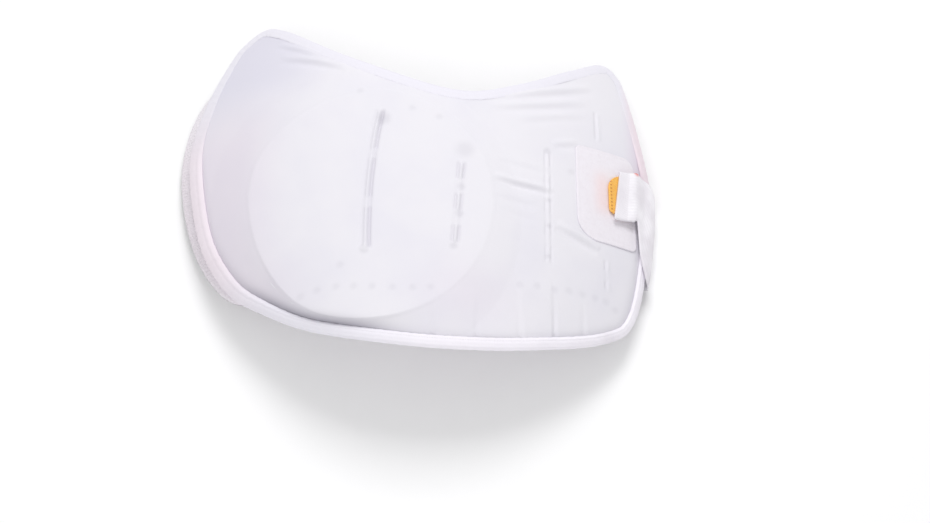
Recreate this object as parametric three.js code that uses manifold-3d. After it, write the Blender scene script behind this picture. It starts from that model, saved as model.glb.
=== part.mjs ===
// Cricket chest protector, lying front up: a slotted shell over a round heart disc, under a
// stretch cover, bound round the edge, on a towelling pad, with an elastic strap round the back.
// Millimetres. X runs across the chest, Y towards the collar bone, Z out of the chest.
import * as THREE from 'three';
import { mergeVertices } from 'three/addons/utils/BufferGeometryUtils.js';
import Module from 'manifold-3d';

const wasm = await Module();
wasm.setup();

// The arch that the guard bends round the ribs
const HALF_WIDTH = 160;
const HALF_LENGTH = 130;
const ARCH_HEIGHT = 66;
const ARCH_POWER = 2.3;
const DISH = 9;
const LEFT_FOOT = { reach: 173.6, along: 38, bend: 52 };
const RIGHT_FOOT = { reach: 163.5, along: 15, bend: 30 };

// Layers, from the chest outwards
const PAD_THICKNESS = 6;
const SHELL_THICKNESS = 3;
const PLATE_THICKNESS = 3.5;
const COVER_THICKNESS = 1.6;
const TAPE_THICKNESS = 1.2;
const PATCH_THICKNESS = 1.5;
const HOOK_THICKNESS = 1.2;
const STRAP_THICKNESS = 1.6;
const GAP = 0.3;

// Heart disc and binding
const DISC_RADIUS = 81.5;
const DISC_LEAN = 20;
const DISC_CENTRE = { across: -0.19, along: -0.077 };
const DISC_PROUD = 4;
const PROUD_SIDE = 215;
const RIM_RUN = 4.2;
const LIP_WIDTH = 7.5;
const PAD_REVEAL = 16;

// Fastening
const PATCH_WIDTH = 43;
const PATCH_LENGTH = 70;
const PATCH_CORNERS = { lowLeft: 15, topLeft: 4, lowRight: 4, topRight: 8 };
const PATCH_PLACE = { across: 0.778, along: 0.066 };
const STRAP_WIDTH = 38;
const HOOK_WIDTH = 26;
const HOOK_LENGTH = 19;
const HOOK_SHOW = 6;
const HOOK_CORNERS = { lowLeft: 2, topLeft: 2, lowRight: 2, topRight: 2 };

// Cuts
const SLOT_WIDTH = 3.6;
const SLOT_BRIDGE = 5;
const GROOVE_DEPTH = 1.0;
const HOLE_WIDTH = 5;
const HOLE_SIDES = 6;
const DIMPLE_DEPTH = 0.9;
const SPOKES_PER_ROW = 2;

// Bound outline of the front panel, anticlockwise from the right. across and along are shares
// of the half width and half length, spoke is the angle on the heart disc that the row faces,
// reveal is how far the pad stands out past the binding, as a share of PAD_REVEAL.
const OUTLINE = [
  { across: 0.984, along: 0.077, spoke: 4, reveal: 0.5 },
  { across: 0.966, along: 0.362, spoke: 15, reveal: 0.55 },
  { across: 0.897, along: 0.769, spoke: 28, reveal: 0.3 },
  { across: 0.856, along: 0.892, spoke: 32, reveal: 0 },
  { across: 0.788, along: 0.923, spoke: 35, reveal: -0.2 },
  { across: 0.65, along: 0.808, spoke: 39.5, reveal: -0.25 },
  { across: 0.444, along: 0.654, spoke: 48, reveal: -0.25 },
  { across: 0.212, along: 0.569, spoke: 62, reveal: -0.25 },
  { across: -0.044, along: 0.65, spoke: 80, reveal: -0.25 },
  { across: -0.356, along: 0.842, spoke: 98.5, reveal: -0.25 },
  { across: -0.6, along: 1.069, spoke: 110.5, reveal: -0.25 },
  { across: -0.688, along: 1.119, spoke: 116, reveal: -0.25 },
  { across: -0.775, along: 1.062, spoke: 122, reveal: -0.2 },
  { across: -0.831, along: 0.969, spoke: 127.5, reveal: -0.1 },
  { across: -0.931, along: 0.7, spoke: 141, reveal: 1.05 },
  { across: -0.99, along: 0.413, spoke: 154.5, reveal: 1.1 },
  { across: -0.968, along: 0.105, spoke: 169, reveal: 1.07 },
  { across: -0.903, along: -0.186, spoke: 184.5, reveal: 0.9 },
  { across: -0.785, along: -0.418, spoke: 200, reveal: 0.6 },
  { across: -0.637, along: -0.562, spoke: 219, reveal: -0.15 },
  { across: -0.387, along: -0.732, spoke: 249, reveal: -0.25 },
  { across: -0.069, along: -0.84, spoke: 279, reveal: -0.25 },
  { across: 0.281, along: -0.858, spoke: 303, reveal: -0.25 },
  { across: 0.594, along: -0.792, spoke: 320, reveal: -0.25 },
  { across: 0.788, along: -0.7, spoke: 330, reveal: -0.25 },
  { across: 0.881, along: -0.592, spoke: 336.5, reveal: -0.2 },
  { across: 0.938, along: -0.362, spoke: 346, reveal: 0 },
];

// Hinge lines of the shell, from the neck end to the waist end, each a row of slots.
const HINGES = [
  { across: -0.15, along: 0.446, toAcross: -0.213, toAlong: -0.354, slots: 2 },
  { across: 0.188, along: 0.27, toAcross: 0.15, toAlong: -0.44, slots: 3 },
  { across: 0.531, along: 0.295, toAcross: 0.519, toAlong: -0.375, slots: 3 },
  { across: 0.744, along: 0.61, toAcross: 0.764, toAlong: -0.504, slots: 4 },
];

// Vent holes, as shares of the half width and half length.
const VENTS = [
  { across: -0.4, along: -0.546 },
  { across: -0.325, along: -0.538 },
  { across: -0.25, along: -0.546 },
  { across: -0.181, along: -0.554 },
  { across: -0.1, along: -0.562 },
  { across: -0.025, along: -0.562 },
  { across: 0.056, along: -0.554 },
  { across: 0.4, along: -0.531 },
  { across: 0.475, along: -0.523 },
  { across: 0.619, along: -0.508 },
  { across: 0.669, along: -0.515 },
  { across: 0.719, along: -0.527 },
];

// Folds of the cover, each a valley between two places, widest in its middle.
const FOLDS = [
  { across: 0.31, along: 0.1, toAcross: 0.56, toAlong: 0.04, width: 7, depth: 1 },
  { across: 0.33, along: 0.18, toAcross: 0.54, toAlong: 0.12, width: 6, depth: 0.9 },
  { across: 0.33, along: -0.005, toAcross: 0.53, toAlong: -0.06, width: 6, depth: 0.9 },
  { across: 0.35, along: 0.52, toAcross: 0.7, toAlong: 0.66, width: 7, depth: 1 },
  { across: 0.34, along: 0.44, toAcross: 0.7, toAlong: 0.57, width: 6, depth: 0.9 },
  { across: -0.6, along: 0.94, toAcross: -0.34, toAlong: 0.75, width: 7, depth: 1 },
  { across: 0.57, along: -0.16, toAcross: 0.73, toAlong: -0.3, width: 5, depth: 1 },
  { across: 0.085, along: -0.65, toAcross: 0.085, toAlong: -0.75, width: 4, depth: 1 },
  { across: 0.24, along: -0.63, toAcross: 0.24, toAlong: -0.77, width: 4, depth: 1 },
  { across: 0.41, along: -0.61, toAcross: 0.41, toAlong: -0.76, width: 4, depth: 1 },
  { across: 0.55, along: -0.58, toAcross: 0.548, toAlong: -0.72, width: 4, depth: 1 },
  { across: 0.67, along: -0.56, toAcross: 0.664, toAlong: -0.68, width: 4, depth: 1 },
];

// Heights of the layers above the chest side of the pad
const TAPE_LOW = PAD_THICKNESS + GAP;
const SHELL_LOW = TAPE_LOW + TAPE_THICKNESS + GAP;
const SHELL_TOP = SHELL_LOW + SHELL_THICKNESS;
const COVER_LOW = SHELL_TOP + GAP;
const COVER_TOP = COVER_LOW + COVER_THICKNESS;
const TAPE_TOP = COVER_TOP + GAP + TAPE_THICKNESS;
const PATCH_LOW = COVER_TOP + GAP;
const HOOK_LOW = PATCH_LOW + PATCH_THICKNESS + GAP;
const STRAP_MIDDLE = HOOK_LOW + HOOK_THICKNESS + GAP + STRAP_THICKNESS / 2;
const FOOT_LIFT = STRAP_THICKNESS + 2 * GAP;
const EDGE_INSET = TAPE_THICKNESS + GAP;

const rad = THREE.MathUtils.degToRad;
const place = (row) => new THREE.Vector2(row.across * HALF_WIDTH, row.along * HALF_LENGTH);
const placeTo = (row) => new THREE.Vector2(row.toAcross * HALF_WIDTH, row.toAlong * HALF_LENGTH);

// Where the arch meets the floor beside a place, measured from the middle.
function footReach(x, y) {
  const foot = x < 0 ? LEFT_FOOT : RIGHT_FOOT;
  return foot.reach - foot.bend * ((y - foot.along) / HALF_LENGTH) ** 2;
}

// Height of the chest side of the pad over the floor.
function archHeight(x, y) {
  const share = Math.abs(x) / footReach(x, y);
  const lift = x > 0 ? FOOT_LIFT * share ** 2 : 0;
  const crown = ARCH_HEIGHT - DISH * (y / HALF_LENGTH) ** 2;
  return crown * (1 - share ** ARCH_POWER) + lift;
}

// The slope of the arch at a place, across and along.
function slope(x, y) {
  const step = 0.05;
  const across = (archHeight(x + step, y) - archHeight(x - step, y)) / (2 * step);
  const along = (archHeight(x, y + step) - archHeight(x, y - step)) / (2 * step);
  return new THREE.Vector2(across, along);
}

// The point a given height above the arch, square to it.
function above(point, height) {
  const fall = slope(point.x, point.y);
  const normal = new THREE.Vector3(-fall.x, -fall.y, 1).normalize();
  return new THREE.Vector3(point.x, point.y, archHeight(point.x, point.y)).addScaledVector(normal, height);
}

// One column of the outline at t rows from its start, smooth through the rows.
function outlineValue(column, t) {
  const count = OUTLINE.length;
  const row = Math.floor(t);
  const u = t - row;
  const lap = column === 'spoke' ? 360 : 0;
  const at = (k) => OUTLINE[((k % count) + count) % count][column] + lap * Math.floor(k / count);
  const [a, b, c, d] = [at(row - 1), at(row), at(row + 1), at(row + 2)];
  return b + 0.5 * u * (c - a + u * (2 * a - 5 * b + 4 * c - d + u * (3 * (b - c) + d - a)));
}

function outlinePoint(t) {
  return new THREE.Vector2(outlineValue('across', t) * HALF_WIDTH, outlineValue('along', t) * HALF_LENGTH);
}

// A place in plan that lies a distance along the surface outside the bound outline.
function beside(t, distance) {
  const edge = outlinePoint(t);
  const run = outlinePoint(t + 0.02).sub(outlinePoint(t - 0.02)).normalize();
  const out = new THREE.Vector2(run.y, -run.x);
  const steepness = slope(edge.x, edge.y).dot(out);
  return edge.addScaledVector(out, distance / Math.hypot(1, steepness));
}

const discMiddle = place(DISC_CENTRE);
const discAcross = DISC_RADIUS * Math.cos(rad(DISC_LEAN));

// A place in plan on a circle of the heart disc, of a given radius along it.
function discPoint(angle, radius) {
  const share = radius / DISC_RADIUS;
  const x = discMiddle.x + discAcross * share * Math.cos(rad(angle));
  const y = discMiddle.y + radius * Math.sin(rad(angle));
  return new THREE.Vector2(x, y);
}

// How far the stiff disc stands off the pad, because it bends less than the pad does.
function discRise(point) {
  const x = (point.x - discMiddle.x) / discAcross;
  const y = (point.y - discMiddle.y) / DISC_RADIUS;
  const facing = 0.5 + 0.5 * Math.cos(Math.atan2(y, x) - rad(PROUD_SIDE));
  return DISC_PROUD * Math.min(1, x * x + y * y) * (0.25 + 0.75 * facing);
}

const plateLow = (point) => TAPE_LOW + discRise(point);
const plateTop = (point) => plateLow(point) + PLATE_THICKNESS;

// The share of the disc's relief that the shell has at a place: 1 on the disc, 0 off it.
function discRelief(point) {
  const x = (point.x - discMiddle.x) / discAcross;
  const y = (point.y - discMiddle.y) / DISC_RADIUS;
  const past = (Math.hypot(x, y) - 1) * DISC_RADIUS;
  return 1 - THREE.MathUtils.smoothstep(past, GAP, RIM_RUN);
}

function shellLow(point) {
  return SHELL_LOW + discRelief(point) * Math.max(0, plateTop(point) + GAP - SHELL_LOW);
}

const shellTop = (point) => shellLow(point) + SHELL_THICKNESS;
const coverLow = (point) => shellTop(point) + GAP;
const coverTop = (point) => coverLow(point) + COVER_THICKNESS;

const rowCount = OUTLINE.length;
const spokeCount = rowCount * SPOKES_PER_ROW;
const spokes = Array.from({ length: spokeCount }, (_, k) => k / SPOKES_PER_ROW);

// A ring of places part of the way from the foot of the disc's rim to the binding's lip.
function betweenRim(share) {
  return (t) => {
    const angle = outlineValue('spoke', t);
    const lip = beside(t, -LIP_WIDTH + TAPE_THICKNESS);
    const rim = discPoint(angle, DISC_RADIUS + GAP);
    const room = lip.distanceTo(rim);
    const foot = Math.min(RIM_RUN, 0.8 * room) / room;
    return rim.lerp(lip, foot + (1 - foot) * share);
  };
}

const onDisc = (radius) => (t) => discPoint(outlineValue('spoke', t), radius);
const atEdge = (distance) => (t) => beside(t, distance);

// A closed geometry from a list of corners and a list of faces, with its faces turned outwards.
function geometryOf(corners, faces) {
  const volumes = faces.map(([a, b, c]) => corners[a].dot(corners[b].clone().cross(corners[c])));
  const inside = volumes.reduce((sum, volume) => sum + volume, 0) < 0;
  const turned = inside ? faces.map(([a, b, c]) => [a, c, b]) : faces;
  const geometry = new THREE.BufferGeometry();
  geometry.setAttribute('position', new THREE.Float32BufferAttribute(corners.flatMap((p) => p.toArray()), 3));
  geometry.setIndex(turned.flat());
  return mergeVertices(geometry, 1e-4);
}

// A closed layer over the arch: a centre, rings of places round it, and two heights.
function layer(rings, low, top) {
  const corners = [above(discMiddle, top(discMiddle)), above(discMiddle, low(discMiddle))];
  const faces = [];
  for (const ring of rings) {
    const places = spokes.map((t) => ring(t));
    corners.push(...places.map((p) => above(p, top(p))));
    corners.push(...places.map((p) => above(p, low(p))));
  }
  const topAt = (ring, k) => 2 + ring * 2 * spokeCount + (k % spokeCount);
  const lowAt = (ring, k) => topAt(ring, k) + spokeCount;
  for (let k = 0; k < spokeCount; k += 1) {
    faces.push([0, topAt(0, k), topAt(0, k + 1)]);
    faces.push([1, lowAt(0, k + 1), lowAt(0, k)]);
    for (let ring = 1; ring < rings.length; ring += 1) {
      const [a, b, c, d] = [topAt(ring - 1, k), topAt(ring, k), topAt(ring, k + 1), topAt(ring - 1, k + 1)];
      faces.push([a, b, c], [a, c, d]);
      const [e, f, g, h] = [lowAt(ring - 1, k), lowAt(ring, k), lowAt(ring, k + 1), lowAt(ring - 1, k + 1)];
      faces.push([e, g, f], [e, h, g]);
    }
    const last = rings.length - 1;
    faces.push([topAt(last, k), lowAt(last, k), lowAt(last, k + 1)]);
    faces.push([topAt(last, k), lowAt(last, k + 1), topAt(last, k + 1)]);
  }
  return geometryOf(corners, faces);
}

// A closed bar through sections that all have the same number of corners.
function loft(sections, closed = false) {
  const sides = sections[0].length;
  const count = sections.length;
  const corners = sections.flat();
  const faces = [];
  const at = (s, k) => (s % count) * sides + (k % sides);
  for (let s = 0; s < (closed ? count : count - 1); s += 1) {
    for (let k = 0; k < sides; k += 1) {
      faces.push([at(s, k), at(s + 1, k), at(s + 1, k + 1)], [at(s, k), at(s + 1, k + 1), at(s, k + 1)]);
    }
  }
  if (!closed) {
    for (let k = 1; k < sides - 1; k += 1) {
      faces.push([at(0, 0), at(0, k), at(0, k + 1)]);
      faces.push([at(count - 1, 0), at(count - 1, k + 1), at(count - 1, k)]);
    }
  }
  return geometryOf(corners, faces);
}

function toSolid(geometry) {
  const bare = geometry.clone();
  bare.deleteAttribute('normal');
  bare.deleteAttribute('uv');
  const merged = mergeVertices(bare, 1e-4);
  const mesh = new wasm.Mesh({
    numProp: 3,
    vertProperties: Float32Array.from(merged.attributes.position.array),
    triVerts: Uint32Array.from(merged.index.array),
  });
  return new wasm.Manifold(mesh);
}

function toGeometry(solid) {
  const mesh = solid.getMesh();
  const geometry = new THREE.BufferGeometry();
  geometry.setAttribute('position', new THREE.Float32BufferAttribute(mesh.vertProperties, 3));
  geometry.setIndex(Array.from(mesh.triVerts));
  return geometry;
}

// A cutter that follows the arch from one place to another. Its section has corners at
// shares of the width, each between the low and the high surface of the cut.
function cutter(from, to, steps, section) {
  const run = to.clone().sub(from).normalize();
  const side = new THREE.Vector2(run.y, -run.x);
  const sections = [];
  for (let s = 0; s <= steps; s += 1) {
    const middle = from.clone().lerp(to, s / steps);
    sections.push(section(s / steps).map(({ out, height }) => {
      const point = middle.clone().addScaledVector(side, out);
      return above(point, height(middle));
    }));
  }
  return toSolid(loft(sections));
}

// A straight-sided cutter of one width between two heights.
function slotCutter(from, to, width, low, high) {
  const steps = Math.max(2, Math.round(from.distanceTo(to) / 12));
  return cutter(from, to, steps, () => [
    { out: -width / 2, height: low },
    { out: width / 2, height: low },
    { out: width / 2, height: high },
    { out: -width / 2, height: high },
  ]);
}

// A valley in the cover, widest and deepest in its middle.
function valleyCutter(row) {
  const swell = (u) => 0.15 + 0.85 * Math.sin(Math.PI * u);
  return cutter(place(row), placeTo(row), 6, (u) => [
    { out: 0, height: (p) => coverTop(p) - row.depth * swell(u) },
    { out: row.width * 0.5 * swell(u), height: (p) => coverTop(p) + 0.15 },
    { out: row.width * 0.5 * swell(u), height: (p) => coverTop(p) + COVER_THICKNESS },
    { out: -row.width * 0.5 * swell(u), height: (p) => coverTop(p) + COVER_THICKNESS },
    { out: -row.width * 0.5 * swell(u), height: (p) => coverTop(p) + 0.15 },
  ]);
}

// A round cutter at one place between two heights.
function ventCutter(row, low, high) {
  const middle = place(row);
  const ringAt = (height) => Array.from({ length: HOLE_SIDES }, (_, k) => {
    const angle = (2 * Math.PI * k) / HOLE_SIDES;
    const offset = new THREE.Vector2(Math.cos(angle), Math.sin(angle)).multiplyScalar(HOLE_WIDTH / 2);
    return above(middle.clone().add(offset), height);
  });
  return toSolid(loft([ringAt(low), ringAt(high)]));
}

// The slots of one hinge line, with a bridge left between two of them.
function hingeSlots(row) {
  const from = place(row);
  const to = placeTo(row);
  const bridge = SLOT_BRIDGE / from.distanceTo(to);
  const share = (1 - bridge * (row.slots - 1)) / row.slots;
  return Array.from({ length: row.slots }, (_, k) => {
    const start = k * (share + bridge);
    return { from: from.clone().lerp(to, start), to: from.clone().lerp(to, start + share) };
  });
}

const always = (height) => () => height;

function makePad() {
  const outer = (t) => beside(t, PAD_REVEAL * outlineValue('reveal', t));
  const inner = onDisc(0.85 * DISC_RADIUS);
  const between = (share) => (t) => inner(t).lerp(outer(t), share);
  const rings = [onDisc(0.5 * DISC_RADIUS), inner, between(0.35), between(0.7), outer];
  return layer(rings, always(0), always(PAD_THICKNESS));
}

// The shell and the cover share their rings, so that they lie close all over.
const shellRings = [
  onDisc(0.55 * DISC_RADIUS),
  onDisc(DISC_RADIUS + GAP),
  betweenRim(0),
  betweenRim(0.25),
  betweenRim(0.5),
  betweenRim(0.75),
  betweenRim(1),
  atEdge(-EDGE_INSET),
];

function makeShell() {
  const plain = toSolid(layer(shellRings, shellLow, shellTop));
  const low = (p) => shellLow(p) - SHELL_THICKNESS;
  const high = (p) => shellTop(p) + SHELL_THICKNESS;
  const slots = HINGES.flatMap(hingeSlots);
  const cuts = slots.map((slot) => slotCutter(slot.from, slot.to, SLOT_WIDTH, low, high));
  const vents = VENTS.map((row) => ventCutter(row, low(place(row)), high(place(row))));
  return toGeometry(plain.subtract(wasm.Manifold.union([...cuts, ...vents])));
}

function makeHeartDisc() {
  const rings = [onDisc(0.55 * DISC_RADIUS), onDisc(DISC_RADIUS)];
  return layer(rings, plateLow, plateTop);
}

function makeCover() {
  const plain = toSolid(layer(shellRings, coverLow, coverTop));
  const high = (p) => coverTop(p) + COVER_THICKNESS;
  const grooves = HINGES.map((row) => {
    return slotCutter(place(row), placeTo(row), SLOT_WIDTH, (p) => coverTop(p) - GROOVE_DEPTH, high);
  });
  const dimples = VENTS.map((row) => {
    const top = coverTop(place(row));
    return ventCutter(row, top - DIMPLE_DEPTH, top + COVER_THICKNESS);
  });
  const valleys = FOLDS.map(valleyCutter);
  return toGeometry(plain.subtract(wasm.Manifold.union([...grooves, ...dimples, ...valleys])));
}

// The binding is a tape folded round the edges of the cover and the shell.
function makeBinding() {
  const lip = -LIP_WIDTH + TAPE_THICKNESS;
  const middle = (TAPE_LOW + TAPE_TOP) / 2;
  const section = [
    { out: lip, up: TAPE_LOW },
    { out: -TAPE_THICKNESS, up: TAPE_LOW },
    { out: 0, up: TAPE_LOW + TAPE_THICKNESS },
    { out: TAPE_THICKNESS / 2, up: middle },
    { out: 0, up: TAPE_TOP - TAPE_THICKNESS },
    { out: -TAPE_THICKNESS, up: TAPE_TOP },
    { out: lip, up: TAPE_TOP },
    { out: lip, up: TAPE_TOP - TAPE_THICKNESS },
    { out: -TAPE_THICKNESS, up: TAPE_TOP - TAPE_THICKNESS },
    { out: -TAPE_THICKNESS, up: TAPE_LOW + TAPE_THICKNESS },
    { out: lip, up: TAPE_LOW + TAPE_THICKNESS },
  ];
  const sections = spokes.map((t) => section.map(({ out, up }) => above(beside(t, out), up)));
  return loft(sections, true);
}

// A rounded sheet on the arch, in rows across its length.
function sheetOnArch(middle, width, length, round, low, top) {
  const columns = 6;
  const rows = 10;
  const half = (v, lowCorner, topCorner) => {
    const corner = v < 0 ? lowCorner : topCorner;
    const end = Math.abs(v) * length * 0.5 - (length * 0.5 - corner);
    const cut = end > 0 ? corner - Math.sqrt(Math.max(0, corner * corner - end * end)) : 0;
    return width * 0.5 - cut;
  };
  const shares = Array.from({ length: rows + 1 }, (_, k) => Math.sin((Math.PI * (k / rows - 0.5))));
  const corners = [];
  const faces = [];
  for (const height of [top, low]) {
    for (const v of shares) {
      const left = -half(v, round.lowLeft, round.topLeft);
      const right = half(v, round.lowRight, round.topRight);
      for (let c = 0; c <= columns; c += 1) {
        const x = THREE.MathUtils.lerp(left, right, c / columns);
        corners.push(above(new THREE.Vector2(middle.x + x, middle.y + v * length * 0.5), height));
      }
    }
  }
  const stride = columns + 1;
  const layerSize = stride * shares.length;
  const at = (side, r, c) => side * layerSize + r * stride + c;
  const quad = (a, b, c, d) => faces.push([a, b, c], [a, c, d]);
  for (let r = 0; r < rows; r += 1) {
    for (let c = 0; c < columns; c += 1) {
      quad(at(0, r, c), at(0, r, c + 1), at(0, r + 1, c + 1), at(0, r + 1, c));
      quad(at(1, r, c), at(1, r + 1, c), at(1, r + 1, c + 1), at(1, r, c + 1));
    }
    quad(at(0, r, 0), at(0, r + 1, 0), at(1, r + 1, 0), at(1, r, 0));
    quad(at(0, r, columns), at(1, r, columns), at(1, r + 1, columns), at(0, r + 1, columns));
  }
  for (let c = 0; c < columns; c += 1) {
    quad(at(0, 0, c), at(1, 0, c), at(1, 0, c + 1), at(0, 0, c + 1));
    quad(at(0, rows, c), at(0, rows, c + 1), at(1, rows, c + 1), at(1, rows, c));
  }
  return geometryOf(corners, faces);
}

const patchMiddle = place(PATCH_PLACE);

function makePatch() {
  const top = PATCH_LOW + PATCH_THICKNESS;
  return sheetOnArch(patchMiddle, PATCH_WIDTH, PATCH_LENGTH, PATCH_CORNERS, PATCH_LOW, top);
}

// The strap's end lies on the patch, and its other end is sewn behind the left flank.
const strapEnd = new THREE.Vector2(patchMiddle.x + 6.5, patchMiddle.y + 1.5);
const leftAlong = 0.06 * HALF_LENGTH;

function makeHookTab() {
  const middle = new THREE.Vector2(strapEnd.x - HOOK_SHOW + HOOK_LENGTH / 2, strapEnd.y + 2);
  return sheetOnArch(middle, HOOK_LENGTH, HOOK_WIDTH, HOOK_CORNERS, HOOK_LOW, HOOK_LOW + HOOK_THICKNESS);
}

// A station of the strap on the arch, or behind it: three points across its width.
function strapOnArch(middle, turn, height) {
  const side = new THREE.Vector2(Math.sin(rad(turn)), Math.cos(rad(turn)));
  return [-0.5, 0, 0.5].map((w) => above(middle.clone().addScaledVector(side, w * STRAP_WIDTH), height));
}

// A station of the strap off the arch.
function strapFree(x, y, z, turn) {
  const side = new THREE.Vector3(Math.sin(rad(turn)), Math.cos(rad(turn)), 0);
  return [-0.5, 0, 0.5].map((w) => new THREE.Vector3(x, y, z).addScaledVector(side, w * STRAP_WIDTH));
}

// The strap's whole way: off the patch, askew over and under the right rim, along the floor
// and up behind the left flank.
function strapStations() {
  const low = STRAP_THICKNESS / 2;
  const back = -3 * GAP - STRAP_THICKNESS / 2;
  const clear = TAPE_TOP + 2 * GAP + STRAP_THICKNESS;
  const onRim = (from, to, pointAt) => [from, (from + to) / 2, to].map(pointAt);
  const front = (drift, turn, lift) => {
    const middle = new THREE.Vector2(strapEnd.x + drift, strapEnd.y + drift * 0.15);
    return strapOnArch(middle, turn, STRAP_MIDDLE + lift);
  };
  const overRim = (from, to, out) => onRim(from, to, (t) => above(beside(t, out), clear));
  const downRim = (from, to, out, up) => onRim(from, to, (t) => {
    const top = above(beside(t, 0), TAPE_TOP);
    return new THREE.Vector3(top.x + GAP + low + out, top.y, low + up * top.z);
  });
  const behind = (across) => strapOnArch(new THREE.Vector2(across * HALF_WIDTH, leftAlong), 0, back);
  const onFloor = (across, along, turn) => strapFree(across * HALF_WIDTH, along, low, turn);
  const curl = 14 - footReach(-1, leftAlong);
  const atLeft = (out, up, turn) => strapFree(curl + out, leftAlong, low + up, turn);
  return [
    front(0, 8, 0),
    front(6, 6, 0),
    front(10, 4, 1.2),
    front(13.5, 3, 0.6),
    overRim(-0.65, 0.55, -9),
    overRim(-0.9, 0.45, -2),
    downRim(-1, 0.3, 1.6, 0.8),
    downRim(-1.05, 0.15, 3, 0.4),
    downRim(-1.1, 0, 1.5, 0.05),
    downRim(-1.08, -0.12, -7, 0),
    onFloor(0.8, patchMiddle.y - 37, 8),
    onFloor(0.4, -20, 8),
    onFloor(0, -10, 8),
    onFloor(-0.4, 0, 7),
    atLeft(14, 0, 3),
    atLeft(3, 0.4, 0),
    atLeft(-0.5, 3.2, 0),
    atLeft(1.5, 6.6, 0),
    behind(-0.86),
    behind(-0.77),
    behind(-0.66),
  ];
}

// The stations joined by smooth curves through their three points.
function makeStrap() {
  const stations = strapStations();
  const curveOf = (points) => new THREE.CatmullRomCurve3(points, false, 'catmullrom', 0.5);
  const curves = [0, 1, 2].map((w) => curveOf(stations.map((station) => station[w])));
  const steps = (stations.length - 1) * 2;
  const sections = [];
  for (let k = 0; k <= steps; k += 1) {
    const points = curves.map((curve) => curve.getPoint(k / steps));
    const across = points[2].clone().sub(points[0]);
    const faces = curves.map((curve) => curve.getTangent(k / steps).cross(across).normalize());
    const side = (h) => points.map((p, w) => p.clone().addScaledVector(faces[w], h * STRAP_THICKNESS / 2));
    sections.push([...side(-1), ...side(1).reverse()]);
  }
  return loft(sections);
}

function piece(name, geometry, color, roughness) {
  const material = new THREE.MeshStandardMaterial({ color, roughness, metalness: 0 });
  const mesh = new THREE.Mesh(geometry, material);
  mesh.name = name;
  return mesh;
}

const guard = new THREE.Group();
guard.add(
  piece('towelling_pad', makePad(), 0xe2dae2, 0.95),
  piece('slotted_shell', makeShell(), 0xe8e6ec, 0.6),
  piece('heart_disc', makeHeartDisc(), 0xeae8ee, 0.6),
  piece('front_cover', makeCover(), 0xeeedf3, 0.85),
  piece('edge_binding', makeBinding(), 0xe8e2ec, 0.85),
  piece('fastening_patch', makePatch(), 0xf1edf3, 0.9),
  piece('hook_tab', makeHookTab(), 0xf7a018, 0.7),
  piece('elastic_strap', makeStrap(), 0xece6ee, 0.85),
);

// The origin is the middle of the guard's box, on the floor.
const box = new THREE.Box3().setFromObject(guard);
const middle = box.getCenter(new THREE.Vector3());
guard.position.set(-middle.x, -middle.y, -box.min.z);

export default guard;
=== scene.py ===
"""A white cricket chest guard, lying front up on a pale floor with its strap fastened.

The soft pieces are built in millimetres over one arched form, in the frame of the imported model,
and turned into metres where their meshes are made.
"""

import logging
import math
from abc import ABC, abstractmethod
from dataclasses import dataclass, field
from enum import Enum
from typing import Any, Callable, ClassVar, Mapping, Sequence

import bmesh
import bpy
import numpy as np
from mathutils.kdtree import KDTree
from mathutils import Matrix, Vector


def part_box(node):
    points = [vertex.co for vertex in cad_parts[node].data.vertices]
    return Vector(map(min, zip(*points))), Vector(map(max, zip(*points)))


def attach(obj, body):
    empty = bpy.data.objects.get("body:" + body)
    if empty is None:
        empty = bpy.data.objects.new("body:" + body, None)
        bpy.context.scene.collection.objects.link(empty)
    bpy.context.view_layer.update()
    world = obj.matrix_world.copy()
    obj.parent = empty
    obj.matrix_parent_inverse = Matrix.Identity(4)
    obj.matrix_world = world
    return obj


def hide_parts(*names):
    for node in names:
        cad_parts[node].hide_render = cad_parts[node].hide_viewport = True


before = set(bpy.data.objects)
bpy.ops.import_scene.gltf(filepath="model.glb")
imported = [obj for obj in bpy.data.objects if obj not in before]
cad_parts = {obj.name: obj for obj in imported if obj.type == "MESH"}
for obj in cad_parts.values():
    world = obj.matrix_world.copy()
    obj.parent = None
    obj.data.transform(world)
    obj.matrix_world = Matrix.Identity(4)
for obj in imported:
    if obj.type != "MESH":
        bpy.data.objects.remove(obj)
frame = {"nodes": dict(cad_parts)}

Array = np.ndarray
Colour = tuple[float, float, float]
Place = tuple[float, float]
Point = tuple[float, float, float]

LOG = logging.getLogger("chest_guard")
MM = 0.001
BODY = "root"
OUTLINE_ROWS = 27

# The flat map of each mesh, and the marks on its points that its finish reads: painted shade where
# the gap behind the cloth shows through it and in the crevice by the disc; where its white is
# pinkish, with painted shade on the flanks and a painted glow beside the orange tab; and where it
# is bluish, with painted shade.
FLAT_MAP = "flat"
PAINTED_SHADE = "painted_shade"
TINT_AND_PAINTED_LIGHT = "tint_and_painted_light"
BLUISH_SHADE = "bluish_shade"


def smooth_step(value: Array, low: float, high: float) -> Array:
    """Rise smoothly from 0 at low to 1 at high.

    Args:
        value: the numbers to weigh.
        low: where the rise starts.
        high: where the rise ends.

    Returns:
        One weight for each number.
    """
    share = np.clip((value - low) / (high - low), 0.0, 1.0)
    return share * share * (3.0 - 2.0 * share)


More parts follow.
